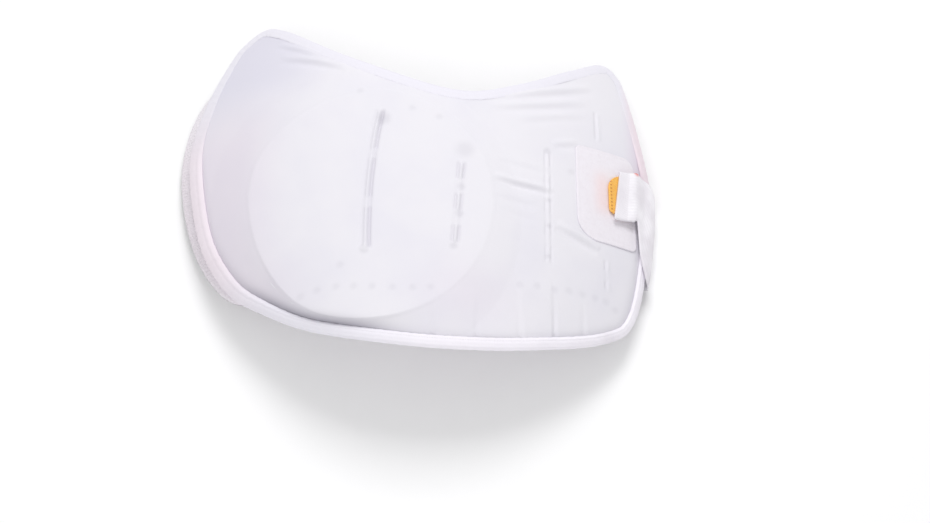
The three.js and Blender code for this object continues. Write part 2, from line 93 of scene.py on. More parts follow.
def catmull_rom(table: Array, t: Array, closed: bool) -> Array:
    """Follow a smooth curve through the rows of a table.

    Args:
        table: one row for each point of the curve.
        t: places on the curve, in rows from the first.
        closed: whether the last row joins the first.

    Returns:
        The values at each place, one row for each.
    """
    count = len(table)
    if closed:
        row = np.floor(t).astype(int)
        a, b, c, d = (table[(row + step) % count] for step in (-1, 0, 1, 2))
    else:
        row = np.clip(np.floor(t).astype(int), 0, count - 2)
        before, after = 2 * table[0] - table[1], 2 * table[-1] - table[-2]
        ends = np.concatenate([before[None], table, after[None]])
        a, b, c, d = (ends[row + step] for step in (0, 1, 2, 3))
    u = (t - row).reshape(-1, *([1] * (table.ndim - 1)))
    curve = 2 * a - 5 * b + 4 * c - d + u * (3 * (b - c) + d - a)
    return b + 0.5 * u * (c - a + u * curve)


def lengths(line: Array) -> Array:
    """How far along a line each of its points lies."""
    return np.concatenate([[0], np.cumsum(np.linalg.norm(np.diff(line, axis=0), axis=1))])


def squared_off(value: Array, power: float) -> Array:
    """Each number's size to a power, with its sign."""
    return np.sign(value) * np.abs(value) ** power


def rounding(depth: Array, radius: float) -> Array:
    """Height of a rounded edge at depths inside it, from 0 to 1."""
    share = np.clip(depth / radius, 0, 1)
    return np.sqrt(np.clip(1 - (1 - share) ** 2, 0, 1))


@dataclass(frozen=True)
class Lobe:
    """A soft patch of colour: its middle in plan, its spreads and its strength."""

    middle: Place
    spread: Place
    strength: float

    def at(self, places: Array) -> Array:
        """How strong the patch is at each place in plan."""
        away = (places - self.middle) / self.spread
        return self.strength * np.exp(-(away[..., 0] ** 2) - away[..., 1] ** 2)


@dataclass(frozen=True)
class Foot:
    """Where one flank of the arch comes down: its reach, and how that bends along the guard."""

    reach: float
    along: float
    bend: float


@dataclass(frozen=True)
class Layers:
    """Heights above the chest side of the pad, in millimetres."""

    pad_top: float = 6.0
    tape_low: float = 6.3
    shell_low: float = 7.8
    plate_top: float = 9.8
    gap: float = 0.3
    tape_thickness: float = 1.2
    cover_top: float = 12.7
    tape_top: float = 14.2
    patch_low: float = 13.0
    patch_top: float = 14.5
    hook_low: float = 14.8
    hook_top: float = 16.0
    strap_middle: float = 17.1
    strap_thickness: float = 1.6


@dataclass(frozen=True)
class Form:
    """The arched surface that every layer of the guard follows, with its bound outline."""

    half_width: float = 160.0
    half_length: float = 130.0
    arch_height: float = 66.0
    arch_power: float = 2.3
    dish: float = 9.0
    left_foot: Foot = Foot(173.6, 38.0, 52.0)
    right_foot: Foot = Foot(163.5, 15.0, 30.0)
    foot_lift: float = 2.2
    disc_radius: float = 83.0
    disc_lean: float = 20.0
    disc_centre: Place = (-0.187, -0.083)
    disc_proud: float = 4.0
    least_proud: float = 0.25
    proud_side: float = 215.0
    flat_side: float = 212.0
    flat_spread: float = 36.0
    flatness: float = 0.075
    full_side: float = 155.0
    full_spread: float = 26.0
    fullness: float = 0.055
    steep_run: float = 36.0
    gentle_run: float = 17.0
    sag: float = 1.1
    rim_height: float = 0.12
    rim_width: float = 1.6
    lip_width: float = 7.5
    broad_lip: float = 5.0
    broad_from: Place = (12.8, 15.5)
    broad_to: Place = (17.5, 20.0)
    pad_reveal: float = 16.0
    layers: Layers = Layers()

    # Where the cloth's white is pinkish and darker: the left flank and the right rim, where the
    # darkness is painted shade on flanks turned from the light, and a patch by the waist.
    left_pink_and_shade: float = 0.6
    left_reach: Place = (76.0, 126.0)
    flank_from: Place = (-95.0, -30.0)
    flank_to: Place = (40.0, 100.0)
    right_reach: Place = (138.0, 152.0)
    right_rise: Place = (5.0, 30.0)
    waist_warmth: Lobe = Lobe((33.0, -77.0), (30.0, 22.0), 0.35)

    # Where the binding's white is bluish and darker, as painted shade: at the neck and along the
    # lower left.
    neck_rise: Place = (20.0, 65.0)
    low_bluish_shade: float = 0.85
    low_middle: float = -85.0
    low_run: float = 70.0
    low_rise: Place = (20.0, 60.0)

    # Rows of the bound outline, anticlockwise from the right: across and along as shares of the
    # half width and half length, and how far the pad stands out, as a share of pad_reveal.
    outline: tuple[tuple[float, float, float], ...] = (
        (0.984, 0.077, 0.5),
        (0.966, 0.362, 0.55),
        (0.897, 0.769, 0.3),
        (0.856, 0.892, 0.0),
        (0.788, 0.923, -0.2),
        (0.65, 0.808, -0.25),
        (0.444, 0.654, -0.25),
        (0.212, 0.569, -0.25),
        (-0.044, 0.65, -0.25),
        (-0.356, 0.842, -0.25),
        (-0.6, 1.069, -0.25),
        (-0.688, 1.119, -0.25),
        (-0.775, 1.062, -0.2),
        (-0.831, 0.969, -0.1),
        (-0.931, 0.7, 1.05),
        (-0.99, 0.413, 1.1),
        (-0.968, 0.105, 1.07),
        (-0.903, -0.186, 0.9),
        (-0.785, -0.418, 0.6),
        (-0.637, -0.562, -0.15),
        (-0.387, -0.732, -0.25),
        (-0.069, -0.84, -0.25),
        (0.281, -0.858, -0.25),
        (0.594, -0.792, -0.25),
        (0.788, -0.7, -0.25),
        (0.881, -0.592, -0.2),
        (0.938, -0.362, 0.0),
    )

    def at(self, across: float, along: float) -> Array:
        """The place in plan at these shares of the half width and half length."""
        return np.array([across * self.half_width, along * self.half_length])

    def reach(self, foot: Foot, along: Array | float) -> Array | float:
        """How far out a flank comes down at each distance along the guard."""
        return foot.reach - foot.bend * ((along - foot.along) / self.half_length) ** 2

    def height(self, places: Array) -> Array:
        """Height of the arch over the floor.

        Args:
            places: places in plan, one row each.

        Returns:
            One height for each place.
        """
        x, y = places[..., 0], places[..., 1]
        left, right = self.reach(self.left_foot, y), self.reach(self.right_foot, y)
        share = np.abs(x) / np.where(x < 0, left, right)
        lift = np.where(x > 0, self.foot_lift * share**2, 0.0)
        crown = self.arch_height - self.dish * (y / self.half_length) ** 2
        return crown * (1 - share**self.arch_power) + lift

    def slope(self, places: Array) -> Array:
        """The slope of the arch.

        Args:
            places: places in plan, one row each.

        Returns:
            The slopes across and along, one row for each place.
        """
        step = 0.05
        right, up = np.array([step, 0.0]), np.array([0.0, step])
        across = self.height(places + right) - self.height(places - right)
        along = self.height(places + up) - self.height(places - up)
        return np.stack([across, along], axis=-1) / (2 * step)

    def above(self, places: Array, heights: Array | float) -> Array:
        """Points square above the arch.

        Args:
            places: places in plan, one row each.
            heights: heights over the arch, one for each place or one for all.

        Returns:
            Points in space, one row each.
        """
        fall = self.slope(places)
        normal = np.concatenate([-fall, np.ones_like(fall[..., :1])], axis=-1)
        normal /= np.linalg.norm(normal, axis=-1, keepdims=True)
        foot = np.concatenate([places, self.height(places)[..., None]], axis=-1)
        return foot + normal * np.broadcast_to(heights, foot.shape[:-1])[..., None]

    def edge(self, t: Array) -> tuple[Array, Array]:
        """The bound outline in plan, and the pad's share of reveal, at t rows from its start."""
        rows = catmull_rom(np.array(self.outline), t, closed=True)
        return rows[:, :2] * (self.half_width, self.half_length), rows[:, 2]

    def beside(self, t: Array, distance: Array | float) -> Array:
        """Places that lie a distance along the surface outside the bound outline.

        Args:
            t: places on the outline, in rows from its start.
            distance: how far outside, one number for each place or one for all.

        Returns:
            Places in plan, one row each.
        """
        middle = self.edge(t)[0]
        run = self.edge(t + 0.02)[0] - self.edge(t - 0.02)[0]
        run /= np.linalg.norm(run, axis=1, keepdims=True)
        out = np.stack([run[:, 1], -run[:, 0]], axis=1)
        steepness = np.sum(self.slope(middle) * out, axis=1)
        return middle + out * (distance / np.hypot(1, steepness))[:, None]

    def lip(self, t: Array) -> Array:
        """How far inside the bound outline the binding's lip lies, widest at the left flank.

        Args:
            t: places on the outline, in rows from its start.

        Returns:
            One distance for each place.
        """
        row = np.mod(t, OUTLINE_ROWS)
        broad = smooth_step(row, *self.broad_from) * (1 - smooth_step(row, *self.broad_to))
        return self.lip_width - self.layers.tape_thickness + self.broad_lip * broad

    def pad_edge(self, t: Array) -> Array:
        """Places on the edge of the towelling pad."""
        return self.beside(t, self.pad_reveal * self.edge(t)[1])

    def disc_polar(self, places: Array) -> tuple[Array, Array]:
        """Where places lie by the disc, whose outline is a little flat below and full above.

        Args:
            places: places in plan.

        Returns:
            Distances from the disc's centre as shares of its radius, and angles.
        """
        middle = self.at(*self.disc_centre)
        across = self.disc_radius * math.cos(math.radians(self.disc_lean))
        x = (places[..., 0] - middle[0]) / across
        y = (places[..., 1] - middle[1]) / self.disc_radius
        angle = np.arctan2(y, x)
        turn = np.degrees(np.mod(angle, 2 * math.pi))
        flat = self.flatness * np.exp(-(((turn - self.flat_side) / self.flat_spread) ** 2))
        full = self.fullness * np.exp(-(((turn - self.full_side) / self.full_spread) ** 2))
        return np.hypot(x, y) * (1 + flat - full), angle

    def disc_relief(self, places: Array, room: Array) -> Array:
        """How far the cover stands up over the stiff disc, and slopes down from its rim.

        Args:
            places: places in plan.
            room: distance of each place from the lip of the binding, below 0 under it.

        Returns:
            One height for each place, in millimetres.
        """
        share, angle = self.disc_polar(places)
        facing = 0.5 + 0.5 * np.cos(angle - math.radians(self.proud_side))
        proud = self.least_proud + (1 - self.least_proud) * facing
        rise = self.disc_proud * np.minimum(1, share**2) * proud
        stack = self.layers.plate_top + self.layers.gap - self.layers.shell_low
        past = np.maximum(0, (share - 1) * self.disc_radius)
        run = self.steep_run + (self.gentle_run - self.steep_run) * (1 - facing) ** 2
        reach = np.minimum(run, past + np.maximum(room, 0.1))
        fall = np.clip(1 - past / reach, 0, 1) ** self.sag
        edge = np.exp(-((past / self.rim_width) ** 2)) * self.rim_height
        return np.minimum(1, fall + edge) * (rise + stack)

    def pink_and_shade(self, places: Array) -> Array:
        """How pinkish and darker the cloth's white is, with painted shade on the flanks.

        Args:
            places: places in plan.

        Returns:
            One number for each place, from 0 to 1.
        """
        x, y = places[..., 0], places[..., 1]
        flank = smooth_step(y, *self.flank_from) * (1 - smooth_step(y, *self.flank_to))
        left = self.left_pink_and_shade * smooth_step(-x, *self.left_reach) * flank
        right = smooth_step(x, *self.right_reach) * smooth_step(y, *self.right_rise)
        return np.clip(left + right + self.waist_warmth.at(places), 0, 1)

    def bluish_shade_share(self, places: Array) -> Array:
        """How bluish and darker the binding's white is, as painted shade.

        Args:
            places: places in plan.

        Returns:
            One number for each place, from 0 to 1.
        """
        x, y = places[..., 0], places[..., 1]
        low_left = np.exp(-(((x - self.low_middle) / self.low_run) ** 4))
        low_left *= self.low_bluish_shade * smooth_step(-y, *self.low_rise)
        return smooth_step(y, *self.neck_rise) + low_left

    def shift(self) -> Array:
        """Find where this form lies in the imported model.

        Returns:
            The way from this form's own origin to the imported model's, in millimetres.
        """
        t = np.arange(0, OUTLINE_ROWS, 0.5)
        places = self.pad_edge(t)
        corners = np.vstack([self.above(places, 0.0), self.above(places, self.layers.pad_top)])
        return np.array(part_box("towelling_pad")[0]) / MM - corners.min(axis=0)


@dataclass(frozen=True)
class Sheet:
    """A four-sided net of places inside an outline, from its left to right and bottom to top."""

    side_steps: ClassVar[int] = 900
    coarse_steps: ClassVar[int] = 400
    fine_steps: ClassVar[int] = 1100
    batch: ClassVar[int] = 4000

    edge: Callable[[Array], Array]
    corners: tuple[float, float, float, float] = (18.5, 24.6, 30.6, 38.0)

    def side(self, start: float, end: float, shares: Array) -> Array:
        """Places on the outline between two of its corners.

        Args:
            start: the first corner, in rows from the outline's start.
            end: the second corner.
            shares: shares of the way between them, by length.

        Returns:
            Places in plan, one row each.
        """
        t = np.linspace(start, end, self.side_steps)
        run = lengths(self.edge(t))
        return self.edge(np.interp(shares * run[-1], run, t))

    def net(self, across: Array, along: Array) -> Array:
        """Places of the net.

        Args:
            across: shares from the left side to the right.
            along: shares from the bottom side to the top.

        Returns:
            Places in plan, as rows by columns by two.
        """
        a, b, c, d = self.corners
        bottom, top = self.side(a, b, across), self.side(d, c, across)
        left, right = self.side(a + OUTLINE_ROWS, d, along), self.side(b, c, along)
        u, v = across[None, :, None], along[:, None, None]
        edges = (1 - v) * bottom[None] + v * top[None]
        edges = edges + (1 - u) * left[:, None] + u * right[:, None]
        low = (1 - u) * bottom[0] + u * bottom[-1]
        high = (1 - u) * top[0] + u * top[-1]
        return edges - (1 - v) * low - v * high

    def outside(self, places: Array) -> Array:
        """Whether each place lies outside the outline.

        Args:
            places: places in plan.

        Returns:
            One truth value for each place.
        """
        line = self.edge(np.linspace(0, OUTLINE_ROWS, self.coarse_steps, endpoint=False))
        x, y = places[..., 0], places[..., 1]
        crossed = np.zeros(x.shape, dtype=bool)
        for (x0, y0), (x1, y1) in zip(line, np.roll(line, -1, axis=0)):
            if y0 != y1:
                crossed ^= ((y0 > y) != (y1 > y)) & (x < (x1 - x0) * (y - y0) / (y1 - y0) + x0)
        return ~crossed

    def depth(self, places: Array) -> Array:
        """Distance from each place to the outline.

        Args:
            places: places in plan.

        Returns:
            One distance for each place.
        """
        line = self.edge(np.linspace(0, OUTLINE_ROWS, self.fine_steps, endpoint=False))
        flat = places.reshape(-1, 2)
        near = np.empty(len(flat))
        for start in range(0, len(flat), self.batch):
            part = slice(start, start + self.batch)
            gaps = flat[part][:, None, :] - line[None]
            near[part] = np.sqrt((gaps**2).sum(axis=2).min(axis=1))
        return near.reshape(places.shape[:-1])


@dataclass
class Skin:
    """A surface of quads: its points, its faces, and its flat map for each corner of a face."""

    points: Array
    faces: Array
    flat: Array
    marks: dict[str, Array] = field(default_factory=dict)

    @classmethod
    def grid(cls, points: Array, flat: Array, closed: bool = False, wrap: float = 0.0) -> "Skin":
        """Make a surface from a net of points.

        Args:
            points: rows by columns by three.
            flat: rows by columns by two, the flat map of the points.
            closed: whether the last column joins the first.
            wrap: how much the map's first number grows over a full turn of the columns.

        Returns:
            The surface.
        """
        rows, columns = points.shape[:2]
        ids = np.arange(rows * columns).reshape(rows, columns)
        maps = flat
        if closed:
            ids = np.concatenate([ids, ids[:, :1]], axis=1)
            maps = np.concatenate([flat, flat[:, :1] + (wrap, 0.0)], axis=1)

        def quads(table: Array) -> Array:
            """The values of a table at the four corners of each quad."""
            sides = table[:-1, :-1], table[:-1, 1:], table[1:, 1:], table[1:, :-1]
            return np.stack(sides, axis=2)

        faces = quads(ids).reshape(-1, 4)
        return cls(points.reshape(-1, 3), faces, quads(maps).reshape(-1, 4, 2))

    def flipped(self) -> "Skin":
        """The same surface with its faces turned over."""
        return Skin(self.points, self.faces[:, ::-1], self.flat[:, ::-1])

    def joined(self, other: "Skin") -> "Skin":
        """This surface and another in one mesh."""
        faces = np.vstack([self.faces, other.faces + len(self.points)])
        points = np.vstack([self.points, other.points])
        return Skin(points, faces, np.vstack([self.flat, other.flat]))

    def to_object(self, name: str, weld: float = 0.0) -> bpy.types.Object:
        """Make the Blender object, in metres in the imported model's frame.

        Args:
            name: the name of the object and its mesh.
            weld: points closer than this, in millimetres, become one.

        Returns:
            The new object, linked to the scene.
        """
        mesh = bpy.data.meshes.new(name)
        placed = (self.points + SHIFT) * MM
        mesh.from_pydata(placed.tolist(), [], self.faces.tolist())
        layer = mesh.uv_layers.new(name=FLAT_MAP)
        layer.data.foreach_set("uv", (self.flat * MM).astype(np.float32).ravel())
        mesh.polygons.foreach_set("use_smooth", np.ones(len(self.faces), dtype=bool))
        mesh.update()
        for mark, values in self.marks.items():
            mesh.attributes.new(mark, "FLOAT", "POINT").data.foreach_set("value", values.ravel())
        piece = bpy.data.objects.new(name, mesh)
        bpy.context.scene.collection.objects.link(piece)
        if weld:
            work = bmesh.new()
            work.from_mesh(mesh)
            bmesh.ops.remove_doubles(work, verts=work.verts, dist=weld * MM)
            bmesh.ops.recalc_face_normals(work, faces=work.faces)
            work.to_mesh(mesh)
            work.free()
        return piece


class Wire:
    """A number that varies over a surface. Arithmetic on it adds Math nodes."""

    def __init__(self, tree: "ShaderTree", socket: bpy.types.NodeSocket) -> None:
        """Wrap a socket of a tree."""
        self.tree = tree
        self.socket = socket

    def _math(self, operation: str, *values: "Wire | float") -> "Wire":
        """Add a Math node on these values."""
        node = self.tree.node("ShaderNodeMath", {"operation": operation}, dict(enumerate(values)))
        return Wire(self.tree, node.outputs[0])

    def __add__(self, other: "Wire | float") -> "Wire":
        """Sum."""
        return self._math("ADD", self, other)

    __radd__ = __add__

    def __sub__(self, other: "Wire | float") -> "Wire":
        """Difference."""
        return self._math("SUBTRACT", self, other)

    def __rsub__(self, other: float) -> "Wire":
        """Difference from a number."""
        return self._math("SUBTRACT", other, self)

    def __mul__(self, other: "Wire | float") -> "Wire":
        """Product."""
        return self._math("MULTIPLY", self, other)

    __rmul__ = __mul__

    def __abs__(self) -> "Wire":
        """Size without its sign."""
        return self._math("ABSOLUTE", self)

    def sine(self) -> "Wire":
        """Sine of this in radians."""
        return self._math("SINE", self)

    def between(self, low: float, high: float) -> "Wire":
        """Rise smoothly from 0 at low to 1 at high.

        Args:
            low: where the rise starts.
            high: where the rise ends.

        Returns:
            The new number.
        """
        settings = {"interpolation_type": "SMOOTHSTEP", "clamp": True}
        sockets = {0: self, 1: low, 2: high, 3: 0.0, 4: 1.0}
        return Wire(self.tree, self.tree.node("ShaderNodeMapRange", settings, sockets).outputs[0])


class ShaderTree:
    """A material in the making, round one Principled shader."""

    def __init__(self, name: str) -> None:
        """Start a material.

        Args:
            name: the material's name.
        """
        self.material = bpy.data.materials.new(name)
        self.material.use_nodes = True
        self.tree = self.material.node_tree
        self.tree.nodes.clear()
        self.shader = self.node("ShaderNodeBsdfPrincipled")
        self.node("ShaderNodeOutputMaterial", {}, {"Surface": self.shader.outputs[0]})

    def node(
        self,
        kind: str,
        settings: Mapping[str, Any] | None = None,
        sockets: Mapping[Any, Any] | None = None,
    ) -> bpy.types.Node:
        """Add a node.

        Args:
            kind: the node's type.
            settings: its properties, or a ramp's stops, which are set first.
            sockets: values, sockets or wires for its inputs, by name or number.

        Returns:
            The new node.
        """
        node = self.tree.nodes.new(kind)
        for key, value in (settings or {}).items():
            if key == "stops":
                self._stops(node.color_ramp, value)
            else:
                setattr(node, key, value)
        for key, value in (sockets or {}).items():
            self._feed(node.inputs[key], value)
        return node

    @staticmethod
    def _stops(ramp: bpy.types.ColorRamp, stops: Sequence[tuple[float, Colour]]) -> None:
        """Set the stops of a colour ramp.

        Args:
            ramp: the ramp.
            stops: the position and colour of each stop.
        """
        while len(ramp.elements) < len(stops):
            ramp.elements.new(1.0)
        for element, (position, colour) in zip(ramp.elements, stops):
            element.position = position
            element.color = (*colour, 1.0)

    def _feed(self, socket: bpy.types.NodeSocket, value: Any) -> None:
        """Link a wire or socket to an input, or set the input's value.

        Args:
            socket: the input.
            value: the wire, the socket or the value.
        """
        if isinstance(value, Wire):
            self.tree.links.new(value.socket, socket)
        elif isinstance(value, bpy.types.NodeSocket):
            self.tree.links.new(value, socket)
        elif isinstance(value, tuple) and len(value) == 3 and socket.type == "RGBA":
            socket.default_value = (*value, 1.0)
        else:
            socket.default_value = value

    def place(self) -> bpy.types.NodeSocket:
        """The place in space, in metres."""
        return self.node("ShaderNodeTexCoord").outputs["Object"]

    def flat(self) -> tuple[Wire, Wire]:
        """Read the flat map.

        Returns:
            The two numbers of the place on it, in millimetres.
        """
        mapped = self.node("ShaderNodeUVMap", {"uv_map": FLAT_MAP}).outputs[0]
        parts = self.node("ShaderNodeSeparateXYZ", {}, {0: mapped})
        return Wire(self, parts.outputs[0]) * (1 / MM), Wire(self, parts.outputs[1]) * (1 / MM)

    def mark(self, name: str) -> Wire:
        """A number that the mesh holds for each of its points."""
        return Wire(self, self.node("ShaderNodeAttribute", {"attribute_name": name}).outputs["Fac"])

    def noise(self, size: float, detail: float = 2.0, roughness: float = 0.5) -> Wire:
        """Cloudy noise, near 0.5.

        Args:
            size: about how large its blotches are, in millimetres.
            detail: how many finer layers it has.
            roughness: how strong the finer layers are.

        Returns:
            The noise.
        """
        scale = 1.0 / (size * MM)
        sockets = {"Vector": self.place(), "Scale": scale, "Detail": detail, "Roughness": roughness}
        return Wire(self, self.node("ShaderNodeTexNoise", {}, sockets).outputs[0])

    def cells(self, size: float, randomness: float = 1.0) -> Wire:
        """Distance to the nearest of many points about this far apart, in millimetres."""
        sockets = {"Vector": self.place(), "Scale": 1.0 / (size * MM), "Randomness": randomness}
        return Wire(self, self.node("ShaderNodeTexVoronoi", {}, sockets).outputs["Distance"])

    def mix(self, factor: Wire, first: Any, second: Any) -> bpy.types.NodeSocket:
        """Mix two colours."""
        node = self.node("ShaderNodeMix", {"data_type": "RGBA"}, {0: factor, 6: first, 7: second})
        return node.outputs[2]

    def bump(self, height: Wire, depth: float, strength: float = 1.0) -> None:
        """Dent the surface.

        Args:
            height: height from 0 to 1.
            depth: how deep the full height is, in millimetres.
            strength: how much of it is seen.
        """
        sockets = {"Height": height, "Distance": depth * MM, "Strength": strength}
        node = self.node("ShaderNodeBump", {}, sockets)
        self._feed(self.shader.inputs["Normal"], node.outputs[0])

    def finish(self, **sockets: Any) -> bpy.types.Material:
        """Set the shader's own inputs.

        Args:
            sockets: values, sockets or wires, by the inputs' names with underscores.

        Returns:
            The finished material.
        """
        for key, value in sockets.items():
            name = key.replace("_", " ").title().replace("Ior", "IOR")
            self._feed(self.shader.inputs[name], value)
        return self.material


@dataclass(frozen=True)
class Finish(ABC):
    """What a surface is made of."""

    name: str
    colour: Colour
    shade: Colour
    roughness: float
    # The tint the marked places turn to: pinkish and darker, as painted shade, on the flanks; a
    # painted orange glow on the patch; red for the strap's tack.
    tint_and_painted_light: Colour = (0.8, 0.75, 0.8)

    @abstractmethod
    def material(self) -> bpy.types.Material:
        """Make the material.

        Returns:
            The material.
        """

    def cloudy(self, tree: ShaderTree, size: float) -> bpy.types.NodeSocket:
        """The finish's colour, drifting a little towards its shade."""
        return tree.mix(tree.noise(size).between(0.35, 0.75), self.colour, self.shade)

    def with_tint_and_painted_light(self, tree: ShaderTree, colour: Any) -> bpy.types.NodeSocket:
        """A colour that turns to the finish's tint where the mesh is marked for it: pinkish with
        painted shade on the flanks, a painted orange glow on the patch, a red tack on the strap.
        """
        return tree.mix(tree.mark(TINT_AND_PAINTED_LIGHT), colour, self.tint_and_painted_light)


@dataclass(frozen=True)
class Jersey(Finish):
    """Fine stretch jersey, with columns of small knitted loops."""

    loop: float = 0.7
    sheen: float = 0.1
    # Painted shade: the dark of the gaps behind the cloth and of the crevice by the disc.
    painted_shade_colour: Colour = (0.42, 0.405, 0.46)
    # Bluish and darker: painted shade for the top left corner of the cover.
    bluish_shade: Colour = (0.71, 0.695, 0.785)

    def material(self) -> bpy.types.Material:
        """Make the material.

        Returns:
            The material.
        """
        tree = ShaderTree(self.name)
        across, along = tree.flat()
        turn = 2 * math.pi / self.loop
        column = (across * turn).sine()
        zigzag = (along * turn + column * 1.2).sine()
        fuzz = tree.noise(0.5, 2.0)
        height = column * 0.25 + zigzag * 0.15 + fuzz * 0.4
        tree.bump(height, 0.12, 0.5)
        soft = self.roughness + (fuzz - 0.5) * 0.1
        # Pinkish tint with painted shade on the flanks, and bluish painted shade in the top left
        # corner.
        white = self.with_tint_and_painted_light(tree, tree.mix(tree.mark(BLUISH_SHADE), self.cloudy(tree, 45.0), self.bluish_shade))
        return tree.finish(
            # Painted shade over the holes, the slots and the crevice by the disc.
            base_color=tree.mix(tree.mark(PAINTED_SHADE), white, self.painted_shade_colour),
            roughness=soft,
            sheen_weight=self.sheen,
            sheen_roughness=0.5,
            specular_ior_level=0.3,
        )


@dataclass(frozen=True)
class Tape(Finish):
    """Folded knitted tape with ribs across it and a row of stitches near its inner edge."""

    rib: float = 1.1
    stitch: float = 3.0
    seam: float = 3.4
    # Bluish and darker: painted shade at the neck and along the lower left.
    bluish_shade: Colour = (0.805, 0.788, 0.858)

    def material(self) -> bpy.types.Material:
        """Make the material.

        Returns:
            The material.
        """
        tree = ShaderTree(self.name)
        along, across = tree.flat()
        ribs = (along * (2 * math.pi / self.rib)).sine()
        on_seam = 1 - abs(across - self.seam).between(0.2, 0.6)
        dash = (along * (2 * math.pi / self.stitch)).sine().between(-0.5, 0.3)
        fuzz = tree.noise(0.6, 2.0)
        height = ribs * 0.18 + fuzz * 0.5 - on_seam * 0.2 + on_seam * dash * 0.3
        tree.bump(height, 0.3, 0.6)
        dark = on_seam * (1 - dash) * 0.12
        # Pinkish tint with painted shade on the flanks, and bluish painted shade at the neck and
        # along the lower left.
        white = self.with_tint_and_painted_light(tree, tree.mix(tree.mark(BLUISH_SHADE), self.cloudy(tree, 30.0), self.bluish_shade))
        return tree.finish(
            base_color=tree.mix(dark, white, self.shade),
            roughness=self.roughness + (fuzz - 0.5) * 0.1,
            sheen_weight=0.2,
            specular_ior_level=0.3,
        )


@dataclass(frozen=True)
class Towelling(Finish):
    """Cotton towelling: a dense pile of short loops in rows."""

    loop: float = 1.5
    row: float = 2.4

    def material(self) -> bpy.types.Material:
        """Make the material.

        Returns:
            The material.
        """
        tree = ShaderTree(self.name)
        along = tree.flat()[1]
        loops = 1 - tree.cells(self.loop).between(0.0, 0.75)
        fuzz = tree.noise(0.7, 3.0)
        tufts = tree.noise(5.0, 2.0)
        rows = (along * (2 * math.pi / self.row) + tufts * 4.0).sine()
        height = loops * 0.6 + fuzz * 0.4 + tufts * 0.4 + rows * 0.18
        tree.bump(height, 0.8, 0.7)
        shaded = (1 - loops) * 0.25 + (1 - rows) * 0.05
        # Pinkish tint with painted shade on the flanks.
        white = self.with_tint_and_painted_light(tree, self.colour)
        return tree.finish(
            base_color=tree.mix(shaded, white, self.shade),
            roughness=self.roughness,
            sheen_weight=0.35,
            specular_ior_level=0.2,
        )


@dataclass(frozen=True)
class LoopPile(Finish):
    """Brushed loop pile for a hook tab to grip."""

    pile: float = 0.8

    def material(self) -> bpy.types.Material:
        """Make the material.

        Returns:
            The material.
        """
        tree = ShaderTree(self.name)
        pile = tree.cells(self.pile)
        brushed = tree.noise(3.5, 3.0, 0.65)
        height = pile * 0.5 + brushed * 0.6
        tree.bump(height, 0.35, 0.6)
        worn = brushed.between(0.42, 0.68)
        white = self.with_tint_and_painted_light(tree, tree.mix(worn, self.colour, self.shade))
        return tree.finish(
            base_color=white,
            roughness=self.roughness,
            sheen_weight=0.4,
            specular_ior_level=0.2,
        )


@dataclass(frozen=True)
class HookTape(Finish):
    """Woven tape set with rows of small hooks, and sewn on near its edge."""

    row: float = 1.3
    stitch: float = 2.6
    seam: float = -5.4
    thread: Colour = (0.38, 0.02, 0.004)

    def material(self) -> bpy.types.Material:
        """Make the material.

        Returns:
            The material.
        """
        tree = ShaderTree(self.name)
        across, along = tree.flat()
        turn = 2 * math.pi / self.row
        hooks = ((across * turn).sine() * (along * turn).sine()).between(-0.1, 0.6)
        fuzz = tree.noise(0.8, 2.0)
        dash = (along * (2 * math.pi / self.stitch)).sine().between(0.0, 0.5)
        stitches = (1 - abs(across - self.seam).between(0.3, 0.8)) * dash
        tree.bump(hooks * 0.6 + fuzz * 0.3 - stitches * 0.5, 0.5, 0.8)
        woven = tree.mix(hooks * 0.6 + fuzz.between(0.45, 0.7) * 0.3, self.colour, self.shade)
        return tree.finish(
            base_color=tree.mix(stitches * 0.5, woven, self.thread),
            roughness=self.roughness,
            specular_ior_level=0.4,
        )


@dataclass(frozen=True)
class Elastic(Finish):
    """Woven elastic webbing: lengthwise ribs crossed by fine picks, with a sewn hem at its end."""

    rib: float = 2.4
    pick: float = 1.0
    hem: float = 10.0
    stitch: float = 1.7

    def material(self) -> bpy.types.Material:
        """Make the material.

        Returns:
            The material.
        """
        tree = ShaderTree(self.name)
        along, across = tree.flat()
        ribs = abs((across * (math.pi / self.rib)).sine())
        picks = (along * (2 * math.pi / self.pick)).sine()
        fuzz = tree.noise(0.6, 2.0)
        sewn = 1 - along.between(self.hem - 0.5, self.hem + 0.5)
        thread = (across * (2 * math.pi / self.stitch) + along * 1.5).sine().between(-0.6, 0.6)
        woven = ribs * 0.5 + picks * 0.12 + fuzz * 0.3
        tree.bump(woven * (1 - sewn) + (thread * 0.3 + fuzz * 0.3) * sewn, 0.25, 0.8)
        shaded = (1 - ribs) * (1 - sewn) * 0.25 + (1 - thread) * sewn * 0.25 + sewn * 0.4
        return tree.finish(
            base_color=self.with_tint_and_painted_light(tree, tree.mix(shaded, self.cloudy(tree, 25.0), self.shade)),
            roughness=self.roughness,
            sheen_weight=0.2,
            specular_ior_level=0.3,
        )


@dataclass(frozen=True)
class Foam(Finish):
    """Moulded sheet with a fine grain."""

    grain: float = 0.6

    def material(self) -> bpy.types.Material:
        """Make the material.

        Returns:
            The material.
        """
        tree = ShaderTree(self.name)
        grain = tree.noise(self.grain, 3.0)
        tree.bump(grain, 0.15, 0.6)
        return tree.finish(
            base_color=self.cloudy(tree, 25.0),
            roughness=self.roughness + (grain - 0.5) * 0.15,
            specular_ior_level=0.35,
        )


@dataclass(frozen=True)
class StudioFloor(Finish):
    """A plain pale floor."""

    def material(self) -> bpy.types.Material:
        """Make the material.

        Returns:
            The material.
        """
        tree = ShaderTree(self.name)
        tree.bump(tree.noise(2.0, 2.0), 0.05, 0.2)
        return tree.finish(
            base_color=self.cloudy(tree, 400.0),
            roughness=self.roughness,
            specular_ior_level=0.1,
        )


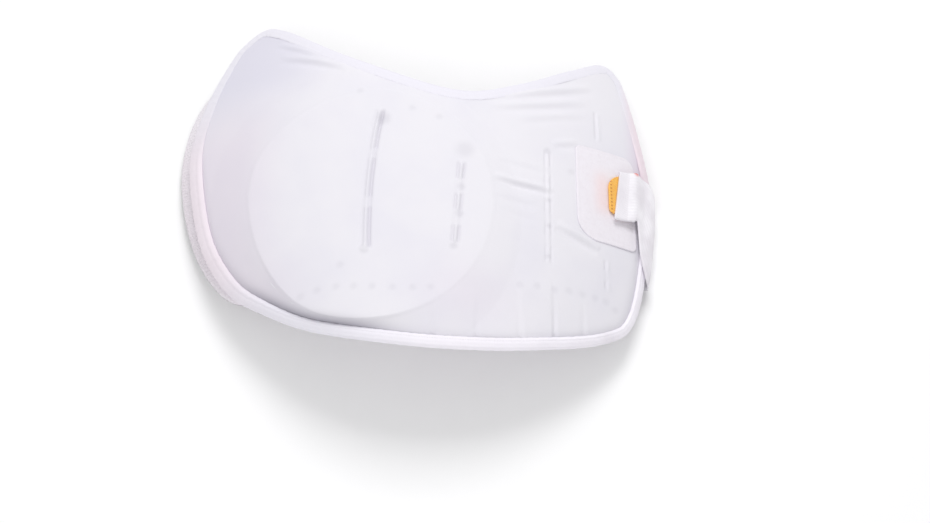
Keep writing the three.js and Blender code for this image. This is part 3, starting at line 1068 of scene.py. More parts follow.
class Finishes(Enum):
    """The finishes of the guard and its floor."""

    COVER = Jersey(
        "fine_white_jersey", (0.80, 0.785, 0.832), (0.77, 0.755, 0.817), 0.85, (0.742, 0.675, 0.765)
    )
    BINDING = Tape(
        "folded_white_tape", (0.92, 0.89, 0.955), (0.85, 0.815, 0.88), 0.85, (0.82, 0.71, 0.77)
    )
    PAD = Towelling(
        "white_towelling", (0.88, 0.845, 0.895), (0.74, 0.695, 0.755), 0.95, (0.80, 0.72, 0.775)
    )
    PATCH = LoopPile(
        "white_loop_pile", (0.835, 0.80, 0.855), (0.815, 0.775, 0.83), 0.95, (0.92, 0.55, 0.50)
    )
    HOOK = HookTape("orange_hook_tape", (1.0, 0.60, 0.15), (0.95, 0.36, 0.015), 0.6)
    STRAP = Elastic(
        "white_ribbed_elastic", (0.95, 0.93, 0.975), (0.78, 0.745, 0.80), 0.8, (0.75, 0.05, 0.01)
    )
    SHELL = Foam("white_foam_sheet", (0.80, 0.79, 0.83), (0.76, 0.75, 0.80), 0.7)
    DISC = Foam("white_stiff_plate", (0.82, 0.81, 0.85), (0.78, 0.77, 0.82), 0.5)
    FLOOR = StudioFloor("pale_floor", (0.965, 0.965, 0.97), (0.955, 0.955, 0.96), 0.9)


@dataclass(frozen=True)
class Relief(ABC):
    """Something that lifts or dents the cloth."""

    @abstractmethod
    def heights(self, places: Array) -> Array:
        """How far it moves the cloth at each place in plan, in millimetres."""

    def painted_shade(self, places: Array) -> Array:
        """How much painted shade of the gap behind it shows through the cloth at each place, from 0
        to 1.
        """
        return np.zeros(places.shape[:-1])


@dataclass(frozen=True)
class Stroke(Relief):
    """Relief along a gently bowed line between two places."""

    start: Place
    end: Place
    bow: float = field(default=0.0, kw_only=True)

    @property
    def length(self) -> float:
        """Distance between the two places."""
        return math.dist(self.start, self.end)

    def measure(self, places: Array) -> tuple[Array, Array]:
        """Where places lie by the line.

        Args:
            places: places in plan.

        Returns:
            Distances along the line from its start, and to the left of it.
        """
        start = np.array(self.start)
        run = (np.array(self.end) - start) / self.length
        away = places - start
        along = away @ run
        share = np.clip(along / self.length, 0, 1)
        return along, away @ np.array([-run[1], run[0]]) - self.bow * 4 * share * (1 - share)


@dataclass(frozen=True)
class Fold(Stroke):
    """A valley in the cloth, with a ridge on its left side."""

    width: float
    depth: float
    ridge: float = 0.6
    growing: bool = False

    def heights(self, places: Array) -> Array:
        """How far it moves the cloth.

        Args:
            places: places in plan.

        Returns:
            One height for each place, in millimetres.
        """
        along, aside = self.measure(places)
        share = along / self.length
        rise = smooth_step(share, 0.0, 1.0)
        swell = rise if self.growing else np.sin(math.pi * np.clip(share, 0, 1)) ** 0.6
        past = np.maximum(0, np.abs(share - 0.5) - 0.5) * self.length
        valley = -self.depth * np.exp(-((aside / self.width) ** 2))
        ridge = self.ridge * self.depth * np.exp(-(((aside - 1.7 * self.width) / self.width) ** 2))
        return swell * np.exp(-((past / self.width) ** 2)) * (valley + ridge)


@dataclass(frozen=True)
class Band(Stroke):
    """A flat band that stands a little proud."""

    width: float
    height: float
    side: float = 1.6
    fade_in: float = 12.0
    fade_out: float = 4.0

    def heights(self, places: Array) -> Array:
        """How far it moves the cloth.

        Args:
            places: places in plan.

        Returns:
            One height for each place, in millimetres.
        """
        along, aside = self.measure(places)
        half, length = self.width / 2, self.length
        flat = 1 - smooth_step(np.abs(aside), half - self.side, half + self.side)
        ends = 1 - smooth_step(along, length, length + self.fade_out)
        return self.height * flat * (smooth_step(along, 0, self.fade_in) * ends)


@dataclass(frozen=True)
class Welt:
    """A raised or sunk line beside a hinge line, and how much painted shade of the gap behind it
    shows.
    """

    aside: float
    width: float
    height: float
    shade_shown: float = 0.0


@dataclass(frozen=True)
class HingeLine(Stroke):
    """A row of slots in the shell, seen as creases and cords of cloth with bridges between them."""

    slots: int
    welts: tuple[Welt, ...]
    bridge: float = 5.0
    closed: float = 0.3
    fade: float = 2.5
    end_fade: float = 1.5

    def openness(self, along: Array) -> Array:
        """How open the row is.

        Args:
            along: distances along it.

        Returns:
            One number for each distance, from 0 to 1.
        """
        pitch = (self.length + self.bridge) / self.slots
        place = np.mod(along, pitch)
        far = pitch - self.bridge
        slot = smooth_step(place, 0.0, self.fade) * (1 - smooth_step(place, far - self.fade, far))
        first, last = -self.end_fade, self.length - self.end_fade
        ends = 1 - smooth_step(along, last, self.length + self.end_fade)
        ends *= smooth_step(along, first, self.end_fade)
        return ends * (self.closed + (1 - self.closed) * slot)

    def profile(self, places: Array, sizes: Sequence[float]) -> Array:
        """Add up the welts, each of its own size.

        Args:
            places: places in plan.
            sizes: one size for each welt.

        Returns:
            One number for each place.
        """
        along, aside = self.measure(places)
        bells = [np.exp(-(((aside - welt.aside) / welt.width) ** 2)) for welt in self.welts]
        return self.openness(along) * sum(size * bell for size, bell in zip(sizes, bells))

    def heights(self, places: Array) -> Array:
        """How far it moves the cloth at each place in plan, in millimetres."""
        return self.profile(places, [welt.height for welt in self.welts])

    def painted_shade(self, places: Array) -> Array:
        """How much painted shade of the gap behind it shows through the cloth at each place, from 0
        to 1.
        """
        return self.profile(places, [welt.shade_shown for welt in self.welts])


@dataclass(frozen=True)
class Dimple(Relief):
    """A round dent in the cloth, or a knob where its depth is below zero."""

    middle: Place
    radius: float = 2.4
    depth: float = 0.18
    shade_shown: float = 0.13

    def bell(self, places: Array) -> Array:
        """The dent's shape, from 0 to 1."""
        away = np.linalg.norm(places - np.array(self.middle), axis=-1)
        return np.exp(-((away / self.radius) ** 3))

    def heights(self, places: Array) -> Array:
        """How far it moves the cloth at each place in plan, in millimetres."""
        return -self.depth * self.bell(places)

    def painted_shade(self, places: Array) -> Array:
        """How much painted shade of the gap behind it shows through the cloth at each place, from 0
        to 1.
        """
        return self.shade_shown * self.bell(places)


def ripple(places: Array, size: float, turns: Sequence[float]) -> Array:
    """A gentle unevenness without a grain.

    Args:
        places: places in plan.
        size: the length of one wave, in millimetres.
        turns: the directions of its waves, in degrees.

    Returns:
        One number for each place, from about -1 to 1.
    """
    total = np.zeros(places.shape[:-1])
    for count, turn in enumerate(turns):
        angle = math.radians(turn)
        run = places @ np.array([math.cos(angle), math.sin(angle)])
        total += np.sin(2 * math.pi * run / (size * (1 + 0.23 * count)) + 1.7 * count)
    return total / len(turns)


FORM = Form()
SHIFT = FORM.shift()
OUTER_WELTS = (Welt(0.0, 0.9, -0.5, 0.12), Welt(2.2, 1.2, 0.5))


@dataclass
class Piece(ABC):
    """One soft piece of the guard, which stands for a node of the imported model."""

    node: ClassVar[str]
    slot: ClassVar[str]
    finish: ClassVar[Finishes]
    form: Form = FORM

    @abstractmethod
    def build(self) -> bpy.types.Object:
        """Make the piece's mesh.

        Returns:
            The piece.
        """

    def dress(self, piece: bpy.types.Object) -> None:
        """Give the piece its finish and its body, and hide the node it stands for.

        Args:
            piece: the piece.
        """
        piece.data.materials.append(self.finish.value.material())
        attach(piece, BODY)
        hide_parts(self.node)

    def make(self) -> bpy.types.Object:
        """Build and dress the piece.

        Returns:
            The piece.
        """
        piece = self.build()
        self.dress(piece)
        LOG.info("%s: %d faces", piece.name, len(piece.data.polygons))
        return piece


@dataclass
class FrontCover(Piece):
    """The stretch cover, drawn over the shell and the disc."""

    node: ClassVar[str] = "front_cover"
    slot: ClassVar[str] = "cover_jersey"
    finish: ClassVar[Finishes] = Finishes.COVER

    columns: int = 360
    rows: int = 265
    inset: float = 1.5
    pinch: float = 0.55
    pinch_run: float = 2.2
    pinch_end: Place = (20.0, 60.0)
    held: Place = (-3.0, 1.0)
    loose_from: Place = (1.0, 1.25)
    slack: float = 0.25
    slack_wave: float = 34.0
    # Painted shade in the crevice where the disc's slope meets the binding at the lower left.
    crevice_shade: float = 0.9
    crevice_least: float = 0.15
    crevice_depth: float = 4.2
    crevice_middle: float = -66.0
    crevice_run: float = 46.0
    crevice_rise: float = 45.0
    # Painted shade, pinkish, in the lower left corner below the disc.
    shaded_corner: Lobe = Lobe((-102.0, -72.0), (26.0, 24.0), 0.5)
    # Painted shade, bluish, in the top left corner.
    bluish_shade_across: Place = (45.0, 110.0)
    bluish_shade_along: Place = (55.0, 105.0)
    extra_columns: float = 1.8
    extra_reach: float = 0.022
    hinges: tuple[HingeLine, ...] = (
        HingeLine(
            (-23.0, 57.0),
            (-29.9, -46.1),
            3,
            (Welt(0.0, 1.1, -1.6, 0.27), Welt(-2.4, 1.1, 0.9), Welt(-4.8, 1.7, -0.4, 0.06)),
            bow=-3.0,
            closed=0.5,
        ),
        HingeLine(
            (29.2, 17.0),
            (24.6, -43.0),
            3,
            (Welt(-2.0, 1.0, -0.9, 0.18), Welt(0.0, 1.0, 0.8), Welt(2.0, 1.0, -1.0, 0.24)),
            bridge=9.0,
        ),
        HingeLine(
            (86.2, 33.0),
            (85.1, -49.0),
            5,
            (Welt(-1.9, 0.9, -0.45, 0.06), Welt(0.0, 0.9, 0.5), Welt(1.9, 0.9, -0.45, 0.06)),
            closed=0.5,
        ),
        HingeLine((119.8, 76.0), (120.0, 51.0), 1, OUTER_WELTS),
        HingeLine((123.0, -38.0), (123.2, -60.0), 2, OUTER_WELTS),
    )
    vents_across: tuple[float, ...] = (
        *(-70.5, -60.6, -49.1, -38.3, -27.1, -14.6, -2, 9.3),
        *(66, 77, 88.5, 98, 107, 115.6, 123, 129.4),
        *(-39, -4, 14, -47.5, 102),
    )
    vents_along: tuple[float, ...] = (
        *(-73.5, -71.3, -70.7, -71.7, -72.7, -74.1, -74.5, -74.3),
        *(-67.5, -66.7, -67.2, -66, -66.4, -66.6, -67.2, -71),
        *(73, 58, 51, -56.1, 21),
    )
    dimples: tuple[Dimple, ...] = (
        Dimple((-23.4, 50.0), 4.6, 1.0, 0.23),
        Dimple((-32.6, -45.6), 2.8, -1.5, 0.0),
        Dimple((31.5, 25.5), 6.0, 0.8, 0.17),
        Dimple((28.8, -2.0), 2.6, 0.4, 0.2),
        Dimple((27.7, -21.8), 2.8, 0.4, 0.22),
        Dimple((24.0, -45.0), 2.6, 0.4, 0.22),
        Dimple((86.3, 33.5), 2.4, 0.5, 0.22),
        Dimple((86.3, -4.0), 1.8, 0.3, 0.22),
        Dimple((86.0, -23.0), 1.8, 0.3, 0.22),
        Dimple((85.1, -45.0), 1.8, 0.4, 0.2),
    )
    bands: tuple[Band, ...] = (
        Band((76.0, -58.0), (76.0, -107.0), 21.0, 0.65),
        Band((25.0, -70.0), (25.0, -108.0), 26.0, 0.3),
    )
    folds: tuple[Fold, ...] = (
        Fold((50, 6), (89, 0.5), 2.2, 1.35, 1.3, bow=-0.5),
        Fold((53, 21), (85, 15), 2.4, 0.45, 0.8),
        Fold((50, -7), (78, -11), 2.6, 0.45, 0.8),
        Fold((55, -17), (80, -21), 2.6, 0.25, 0.6),
        Fold((55, 70), (120, 92), 2.8, 0.8, 1.5, bow=-2.0),
        Fold((48, 60), (115, 77), 2.8, 0.7, 1.5, bow=-2.0),
        Fold((67, 52), (115, 66), 2.8, 0.45, 1.2),
        Fold((62, 84), (108, 98), 2.8, 0.5, 1.5),
        Fold((-97, 109), (-50, 92), 2.6, 0.7, 2.2, bow=1.0),
        Fold((-100, 124), (-70, 107), 2.0, 0.4, 2.2),
        Fold((90, -23), (118, -35.5), 2.4, 1.3, 1.3),
        Fold((90, 37), (108, 42), 2.4, 0.7, 0.9),
        Fold((11, -82), (11, -108), 1.7, 0.6, 0.3, growing=True),
        Fold((38, -81), (38, -107), 1.7, 0.6, 0.3, growing=True),
        Fold((65.5, -78), (65.5, -104), 1.5, 0.6, 0.3, growing=True),
        Fold((87.5, -66), (87.5, -100), 1.5, 0.8, 0.3, growing=True),
        Fold((107, -66), (107, -93), 1.7, 0.5, 0.3, growing=True),
    )

    def details(self) -> list[Relief]:
        """Everything that lifts or dents the cloth."""
        vents = [Dimple(place) for place in zip(self.vents_across, self.vents_along)]
        return [*self.hinges, *vents, *self.dimples, *self.bands, *self.folds]

    def relief(self, places: Array, depth: Array) -> Array:
        """Height of the cover over the arch.

        Args:
            places: places in plan.
            depth: distance of each place from the lip of the binding.

        Returns:
            One height for each place, in millimetres.
        """
        height = self.form.layers.cover_top + self.form.disc_relief(places, depth)
        moved = sum(detail.heights(places) for detail in self.details())
        loose = smooth_step(self.form.disc_polar(places)[0], *self.loose_from)
        moved += self.slack * loose * ripple(places, self.slack_wave, (10, 75, 140, 200))
        inside = smooth_step(depth, *self.held)
        pinch = self.pinch * (1 - smooth_step(places[..., 1], *self.pinch_end))
        return height + moved * inside - pinch * np.exp(-((depth / self.pinch_run) ** 2))

    def build(self) -> bpy.types.Object:
        """Make the piece's mesh.

        Returns:
            The piece.
        """
        sheet = Sheet(lambda t: self.form.beside(t, -self.inset))
        places = sheet.net(self.shares_across(), np.linspace(0, 1, self.rows + 1))
        lips = Sheet(lambda t: self.form.beside(t, -self.form.lip(t)))
        hidden = lips.outside(places)
        depth = np.where(hidden, -1.0, 1.0) * lips.depth(places)
        skin = Skin.grid(self.form.above(places, self.relief(places, depth)), places)
        painted_shade = sum(detail.painted_shade(places) for detail in self.details())
        # Painted shade along the binding's lip in the crevice below the disc.
        crevice_shade = self.crevice_shade * self.by_disc(places) * np.exp(-((depth / self.crevice_depth) ** 2))
        skin.marks[PAINTED_SHADE] = np.clip(painted_shade + crevice_shade, 0, 1)
        # Pinkish tint with painted shade on the flanks and in the lower left corner.
        skin.marks[TINT_AND_PAINTED_LIGHT] = np.clip(self.form.pink_and_shade(places) + self.shaded_corner.at(places), 0, 1)
        # Painted shade, bluish, in the top left corner.
        bluish_shade = smooth_step(-places[..., 0], *self.bluish_shade_across)
        skin.marks[BLUISH_SHADE] = bluish_shade * smooth_step(places[..., 1], *self.bluish_shade_along)
        return skin.to_object("front_cover_cloth")

    def by_disc(self, places: Array) -> Array:
        """How near places are to where the disc's slope meets the binding, which weighs the painted
        shade there.

        Args:
            places: places in plan.

        Returns:
            One number for each place, from 0 to 1.
        """
        across = (places[..., 0] - self.crevice_middle) / self.crevice_run
        near = self.crevice_least + (1 - self.crevice_least) * np.exp(-(across**4))
        return near * smooth_step(-places[..., 1], 0.0, self.crevice_rise)

    def shares_across(self) -> Array:
        """Space the columns, closer together at the hinge lines.

        Returns:
            Shares of the way from the left side to the right.
        """
        even = np.linspace(0, 1, 2001)
        width = 2 * self.form.half_width
        dense = np.ones_like(even)
        for hinge in self.hinges:
            middle = 0.5 + (hinge.start[0] + hinge.end[0]) / 2 / width
            near = np.exp(-(((even - middle) / self.extra_reach) ** 4))
            dense += self.extra_columns * near
        run = np.cumsum(dense)
        return np.interp(np.linspace(run[0], run[-1], self.columns + 1), run, even)

    def dress(self, piece: bpy.types.Object) -> None:
        """Finish the piece."""
        super().dress(piece)


@dataclass
class EdgeBinding(Piece):
    """Tape folded round the edges of the cover and the shell."""

    node: ClassVar[str] = "edge_binding"
    slot: ClassVar[str] = "binding_tape"
    finish: ClassVar[Finishes] = Finishes.BINDING

    sections: int = 1400
    crown: float = 0.5
    groove: float = 0.2
    groove_width: float = 0.09
    bulge: float = 1.7
    squareness: float = 0.8
    hem: float = 0.25
    hem_rise: Place = (-0.08, 0.32)
    step: float = 0.15
    step_rise: Place = (0.44, 0.56)
    neck_flat: float = 0.85
    neck_rise: Place = (30.0, 75.0)
    pucker: float = 0.12
    pucker_waves: Place = (7.3, 31.0)
    pucker_depth: float = 0.8

    def section(self) -> Array:
        """The tape's section, round its outside and back along its inside.

        Returns:
            How far out and up each point of it lies.
        """
        heights = self.form.layers
        lip = -self.form.lip_width + heights.tape_thickness
        turn = -heights.tape_thickness
        middle = (heights.tape_low + heights.tape_top) / 2
        half = (heights.tape_top - heights.tape_low) / 2
        shares = np.linspace(0, 1, 17)
        hem = heights.cover_top + self.hem
        rise = (heights.tape_top - 0.1 - hem) * smooth_step(shares, *self.hem_rise)
        crown = self.crown * np.sin(math.pi * shares) ** 0.6
        dent = self.groove * np.exp(-(((shares - 0.5) / self.groove_width) ** 2))
        front = np.stack([lip + (turn - lip) * shares, hem + rise + crown - dent], axis=1)
        front[:, 1] -= self.step * smooth_step(shares, *self.step_rise)
        angles = np.radians(np.linspace(75, -90, 10))
        out = turn + (self.bulge - turn) * squared_off(np.cos(angles), self.squareness)
        roll = np.stack([out, middle + half * squared_off(np.sin(angles), self.squareness)], axis=1)
        inner_low = heights.tape_low + heights.tape_thickness
        inner_top = heights.tape_top - heights.tape_thickness
        corners = [(lip, heights.tape_low), (lip, inner_low), (turn, inner_low), (turn, inner_top)]
        return np.vstack([front, roll, corners, [(lip, hem - 0.2)]])

    def build(self) -> bpy.types.Object:
        """Make the piece's mesh.

        Returns:
            The piece.
        """
        form, layers = self.form, self.form.layers
        t = np.linspace(0, OUTLINE_ROWS, self.sections, endpoint=False)
        line = form.above(form.beside(t, 0.0), layers.tape_top)
        run = lengths(np.vstack([line, line[:1]]))
        first, second = (np.sin(2 * math.pi * run[:-1] / wave) for wave in self.pucker_waves)
        pucker = first * second
        section = self.section()
        girth = lengths(section)
        rows, maps, pink_and_shade, bluish_shade_share = [], [], [], []
        lip = form.lip_width - layers.tape_thickness
        broad = (form.lip(t) - lip) / (lip - layers.tape_thickness)
        for (out, up), place in zip([*section, section[0]], [*girth, girth[-1] + 1.0]):
            inward = np.minimum(0, out + layers.tape_thickness)
            places = form.beside(t, out + inward * broad + self.pucker * pucker)
            on_front = self.pucker if up > layers.tape_top - self.pucker_depth else 0.0
            neck = self.neck_flat * smooth_step(places[:, 1], *self.neck_rise)
            flush = up - neck * max(0.0, up - layers.cover_top)
            rows.append(form.above(places, flush + on_front * pucker))
            maps.append(np.stack([run[:-1], np.full_like(t, place)], axis=1))
            # Pinkish tint with painted shade on the flanks; bluish painted shade at the neck and
            # along the lower left.
            pink_and_shade.append(form.pink_and_shade(places))
            bluish_shade_share.append(form.bluish_shade_share(places))
        skin = Skin.grid(np.stack(rows), np.stack(maps), closed=True, wrap=run[-1])
        skin.marks[TINT_AND_PAINTED_LIGHT] = np.stack(pink_and_shade)
        skin.marks[BLUISH_SHADE] = np.stack(bluish_shade_share)
        return skin.to_object("edge_binding_tape", weld=0.01)


@dataclass(frozen=True)
class Swelling:
    """Cloth that is blown up a little, held where it is sewn."""

    voxel: float = 4.0
    pressure: float = 4.0
    frames: int = 20
    most: float = 2.0
    nearest: int = 4

    def moves(self, body: bpy.types.Object, held: Callable[[Array], Array]) -> Array:
        """Simulate a body as cloth.

        Args:
            body: a closed body, in metres, which is left as it is.
            held: gives how firmly each of some points, in metres, is held, from 0 to 1.

        Returns:
            How far each point of the body moves, in metres.
        """
        scene = bpy.context.scene
        cloth = body.copy()
        cloth.data = body.data.copy()
        scene.collection.objects.link(cloth)
        remesh = cloth.modifiers.new("remesh", "REMESH")
        remesh.mode = "VOXEL"
        remesh.voxel_size = self.voxel * MM
        start = self.points(cloth)
        graph = bpy.context.evaluated_depsgraph_get()
        bare = bpy.data.meshes.new_from_object(cloth.evaluated_get(graph))
        cloth.modifiers.clear()
        cloth.data = bare
        sewn = cloth.vertex_groups.new(name="sewn")
        for index, weight in enumerate(held(start)):
            sewn.add([index], float(weight), "REPLACE")
        settings = cloth.modifiers.new("cloth", "CLOTH").settings
        settings.use_pressure = True
        settings.uniform_pressure_force = self.pressure
        settings.effector_weights.gravity = 0.0
        settings.vertex_group_mass = sewn.name
        for number in range(1, self.frames + 1):
            scene.frame_set(number)
        moved = self.points(cloth) - start
        scene.frame_set(1)
        bpy.data.objects.remove(cloth)
        size = np.linalg.norm(moved, axis=1, keepdims=True)
        moved *= np.minimum(1, self.most * MM / np.maximum(size, 1e-9))
        LOG.info("swelling: %d points, up to %.1f mm", len(start), size.max() / MM)
        return self.spread(start, moved, self.points(body))

    @staticmethod
    def points(body: bpy.types.Object) -> Array:
        """Read the points of a body with its modifiers on.

        Args:
            body: the body.

        Returns:
            Its points in metres, one row each.
        """
        mesh = body.evaluated_get(bpy.context.evaluated_depsgraph_get()).data
        found = np.empty(3 * len(mesh.vertices))
        mesh.vertices.foreach_get("co", found)
        return found.reshape(-1, 3)

    def spread(self, start: Array, moved: Array, points: Array) -> Array:
        """Give each point the mean move of the nearest points of the cloth.

        Args:
            start: the points of the cloth before they moved.
            moved: how far each of them moved.
            points: the points to move.

        Returns:
            One move for each point.
        """
        tree = KDTree(len(start))
        for index, point in enumerate(start):
            tree.insert(point, index)
        tree.balance()
        result = np.empty_like(points)
        for index, point in enumerate(points):
            near = tree.find_n(point, self.nearest)
            weights = np.array([1 / (distance + 0.5 * MM) for _, _, distance in near])
            result[index] = weights @ moved[[which for _, which, _ in near]] / weights.sum()
        return result


@dataclass
class TowellingPad(Piece):
    """The soft back pad, which stands out past the binding at the left."""

    node: ClassVar[str] = "towelling_pad"
    slot: ClassVar[str] = "towelling"
    finish: ClassVar[Finishes] = Finishes.PAD

    columns: int = 200
    rows: int = 170
    edge_radius: float = 3.2
    roll: float = 1.6
    tuft: float = 0.22
    tuft_wave: float = 2.3
    bare_from: Place = (0.5, 5.0)
    free_from: Place = (1.0, 5.0)
    swelling: Swelling = Swelling()

    def build(self) -> bpy.types.Object:
        """Make the piece's mesh.

        Returns:
            The piece.
        """
        sheet = Sheet(self.form.pad_edge)
        places = sheet.net(self.stations(self.columns), self.stations(self.rows))
        depth = sheet.depth(places)
        half = self.form.layers.pad_top / 2
        edge = rounding(depth, self.edge_radius)
        bare = smooth_step(self.bareness(places), *self.bare_from)
        tufts = self.tuft * bare * ripple(places, self.tuft_wave, (5, 62, 118, 171))
        top = half + (half + self.roll * bare) * edge + tufts * smooth_step(depth, 0.0, 1.0)
        low = half - half * edge
        upper, lower = self.form.above(places, top), self.form.above(places, low)
        skin = Skin.grid(upper, places).joined(Skin.grid(lower, places).flipped())
        # Pinkish tint with painted shade on the flanks.
        skin.marks[TINT_AND_PAINTED_LIGHT] = np.tile(self.form.pink_and_shade(places).ravel(), 2)
        piece = skin.to_object("towelling_pad_cloth", weld=0.02)
        self.swell(piece)
        return piece

    def swell(self, piece: bpy.types.Object) -> None:
        """Let the bare rim of the pad puff up, and keep it off the floor.

        Args:
            piece: the pad.
        """
        points = Swelling.points(piece)
        free = self.freedom(points)[:, None]
        points += self.swelling.moves(piece, lambda found: 1 - self.freedom(found)) * free
        points[:, 2] = np.maximum(points[:, 2], 0.0)
        piece.data.vertices.foreach_set("co", points.ravel())
        piece.data.update()

    def freedom(self, points: Array) -> Array:
        """How free of the binding the pad is at points in metres, from 0 to 1."""
        places = (points / MM - SHIFT)[:, :2]
        return smooth_step(self.bareness(places), *self.free_from)

    @staticmethod
    def stations(count: int) -> Array:
        """Shares across the pad, closer together near both sides."""
        even = np.linspace(-1, 1, count + 1)
        return 0.5 + 0.5 * np.sign(even) * (1 - (1 - np.abs(even)) ** 1.4)

    def bareness(self, places: Array) -> Array:
        """How far each place lies outside the binding, or 0 under it."""
        bound = Sheet(lambda t: self.form.beside(t, 0.0))
        return np.where(bound.outside(places), bound.depth(places), 0.0)

    def dress(self, piece: bpy.types.Object) -> None:
        """Finish the piece."""
        super().dress(piece)


@dataclass(frozen=True)
class Corners:
    """The radii of a sheet's corners."""

    low_left: float = 2.0
    top_left: float = 2.0
    low_right: float = 2.0
    top_right: float = 2.0


@dataclass
class Badge(Piece):
    """A rounded sheet that lies on the front."""

    columns: ClassVar[int] = 60
    rows: ClassVar[int] = 90
    edge_share: ClassVar[float] = 0.8
    edge_middle: ClassVar[float] = 0.35
    seam: ClassVar[float] = 0.1
    seam_inside: ClassVar[float] = 2.6
    seam_width: ClassVar[float] = 0.8
    unevenness: ClassVar[float] = 0.08
    uneven_wave: ClassVar[float] = 11.0

    def rounded(self, middle: Array, size: Place, corners: Corners, low: float, top: float) -> Skin:
        """A closed rounded sheet on the arch.

        Args:
            middle: its middle in plan.
            size: its width and length.
            corners: the radii of its corners.
            low: the height of its underside over the arch.
            top: the height of its face over the arch.

        Returns:
            The sheet's surface.
        """
        width, length = size
        u = np.sin(np.linspace(-0.5, 0.5, self.columns + 1) * math.pi)[None, :]
        v = np.sin(np.linspace(-0.5, 0.5, self.rows + 1) * math.pi)[:, None]

        def half(low_corner: float, top_corner: float) -> Array:
            """Half the width along a side with these corners."""
            corner = np.where(v < 0, low_corner, top_corner)
            end = np.maximum(0, np.abs(v) * length / 2 - (length / 2 - corner))
            return width / 2 - corner + np.sqrt(np.maximum(0, corner**2 - end**2))

        left = half(corners.low_left, corners.top_left)
        right = half(corners.low_right, corners.top_right)
        x = -left + (left + right) * (u + 1) / 2
        y = v * length / 2 + 0 * u
        places = np.stack([x, y], axis=-1) + middle
        depth = np.minimum(np.minimum(left + x, right - x), length / 2 - np.abs(y))
        thick = top - low
        edge = rounding(depth, thick * self.edge_share)
        seam = self.seam * np.exp(-(((depth - self.seam_inside) / self.seam_width) ** 2))
        uneven = self.unevenness * ripple(places, self.uneven_wave, (20, 80, 150)) * edge
        rise = self.edge_middle + (1 - self.edge_middle) * edge
        upper = self.form.above(places, low + thick * rise - seam + uneven)
        lower = self.form.above(places, low + thick * self.edge_middle * (1 - edge))
        flat = places - middle
        return Skin.grid(upper, flat).joined(Skin.grid(lower, flat).flipped())


@dataclass
class FasteningPatch(Badge):
    """The patch of loop pile on the right of the front."""

    node: ClassVar[str] = "fastening_patch"
    slot: ClassVar[str] = "loop_pile"
    finish: ClassVar[Finishes] = Finishes.PATCH

    size: Place = (41.0, 70.0)
    corners: Corners = Corners(15.0, 4.0, 4.0, 8.0)
    place: Place = (0.784, 0.066)
    glow_middle: Place = (4.5, 1.5)
    glow_run: Place = (6.0, 16.0)
    thinner: float = 0.7

    def build(self) -> bpy.types.Object:
        """Make the piece's mesh.

        Returns:
            The piece.
        """
        layers = self.form.layers
        middle = self.form.at(*self.place)
        low = layers.patch_low - 0.2
        skin = self.rounded(middle, self.size, self.corners, low, layers.patch_top - self.thinner)
        # Painted glow: the orange tab's light bounced onto the pile beside it.
        away = (skin.points[:, :2] - middle - self.glow_middle) / self.glow_run
        skin.marks[TINT_AND_PAINTED_LIGHT] = 0.3 * np.exp(-(away[:, 0] ** 2) - away[:, 1] ** 4)
        return skin.to_object("fastening_patch_pile", weld=0.01)


@dataclass
class HookTab(Badge):
    """The orange hook tab under the strap's end."""

    node: ClassVar[str] = "hook_tab"
    slot: ClassVar[str] = "hook_orange"
    finish: ClassVar[Finishes] = Finishes.HOOK

    size: Place = (14.0, 30.5)
    corners: Corners = Corners(3.5, 12.0)
    middle: Place = (133.0, 11.4)

    def build(self) -> bpy.types.Object:
        """Make the piece's mesh.

        Returns:
            The piece.
        """
        layers = self.form.layers
        low = layers.hook_low - 0.25
        skin = self.rounded(np.array(self.middle), self.size, self.corners, low, layers.hook_top)
        return skin.to_object("hook_tab_tape", weld=0.01)


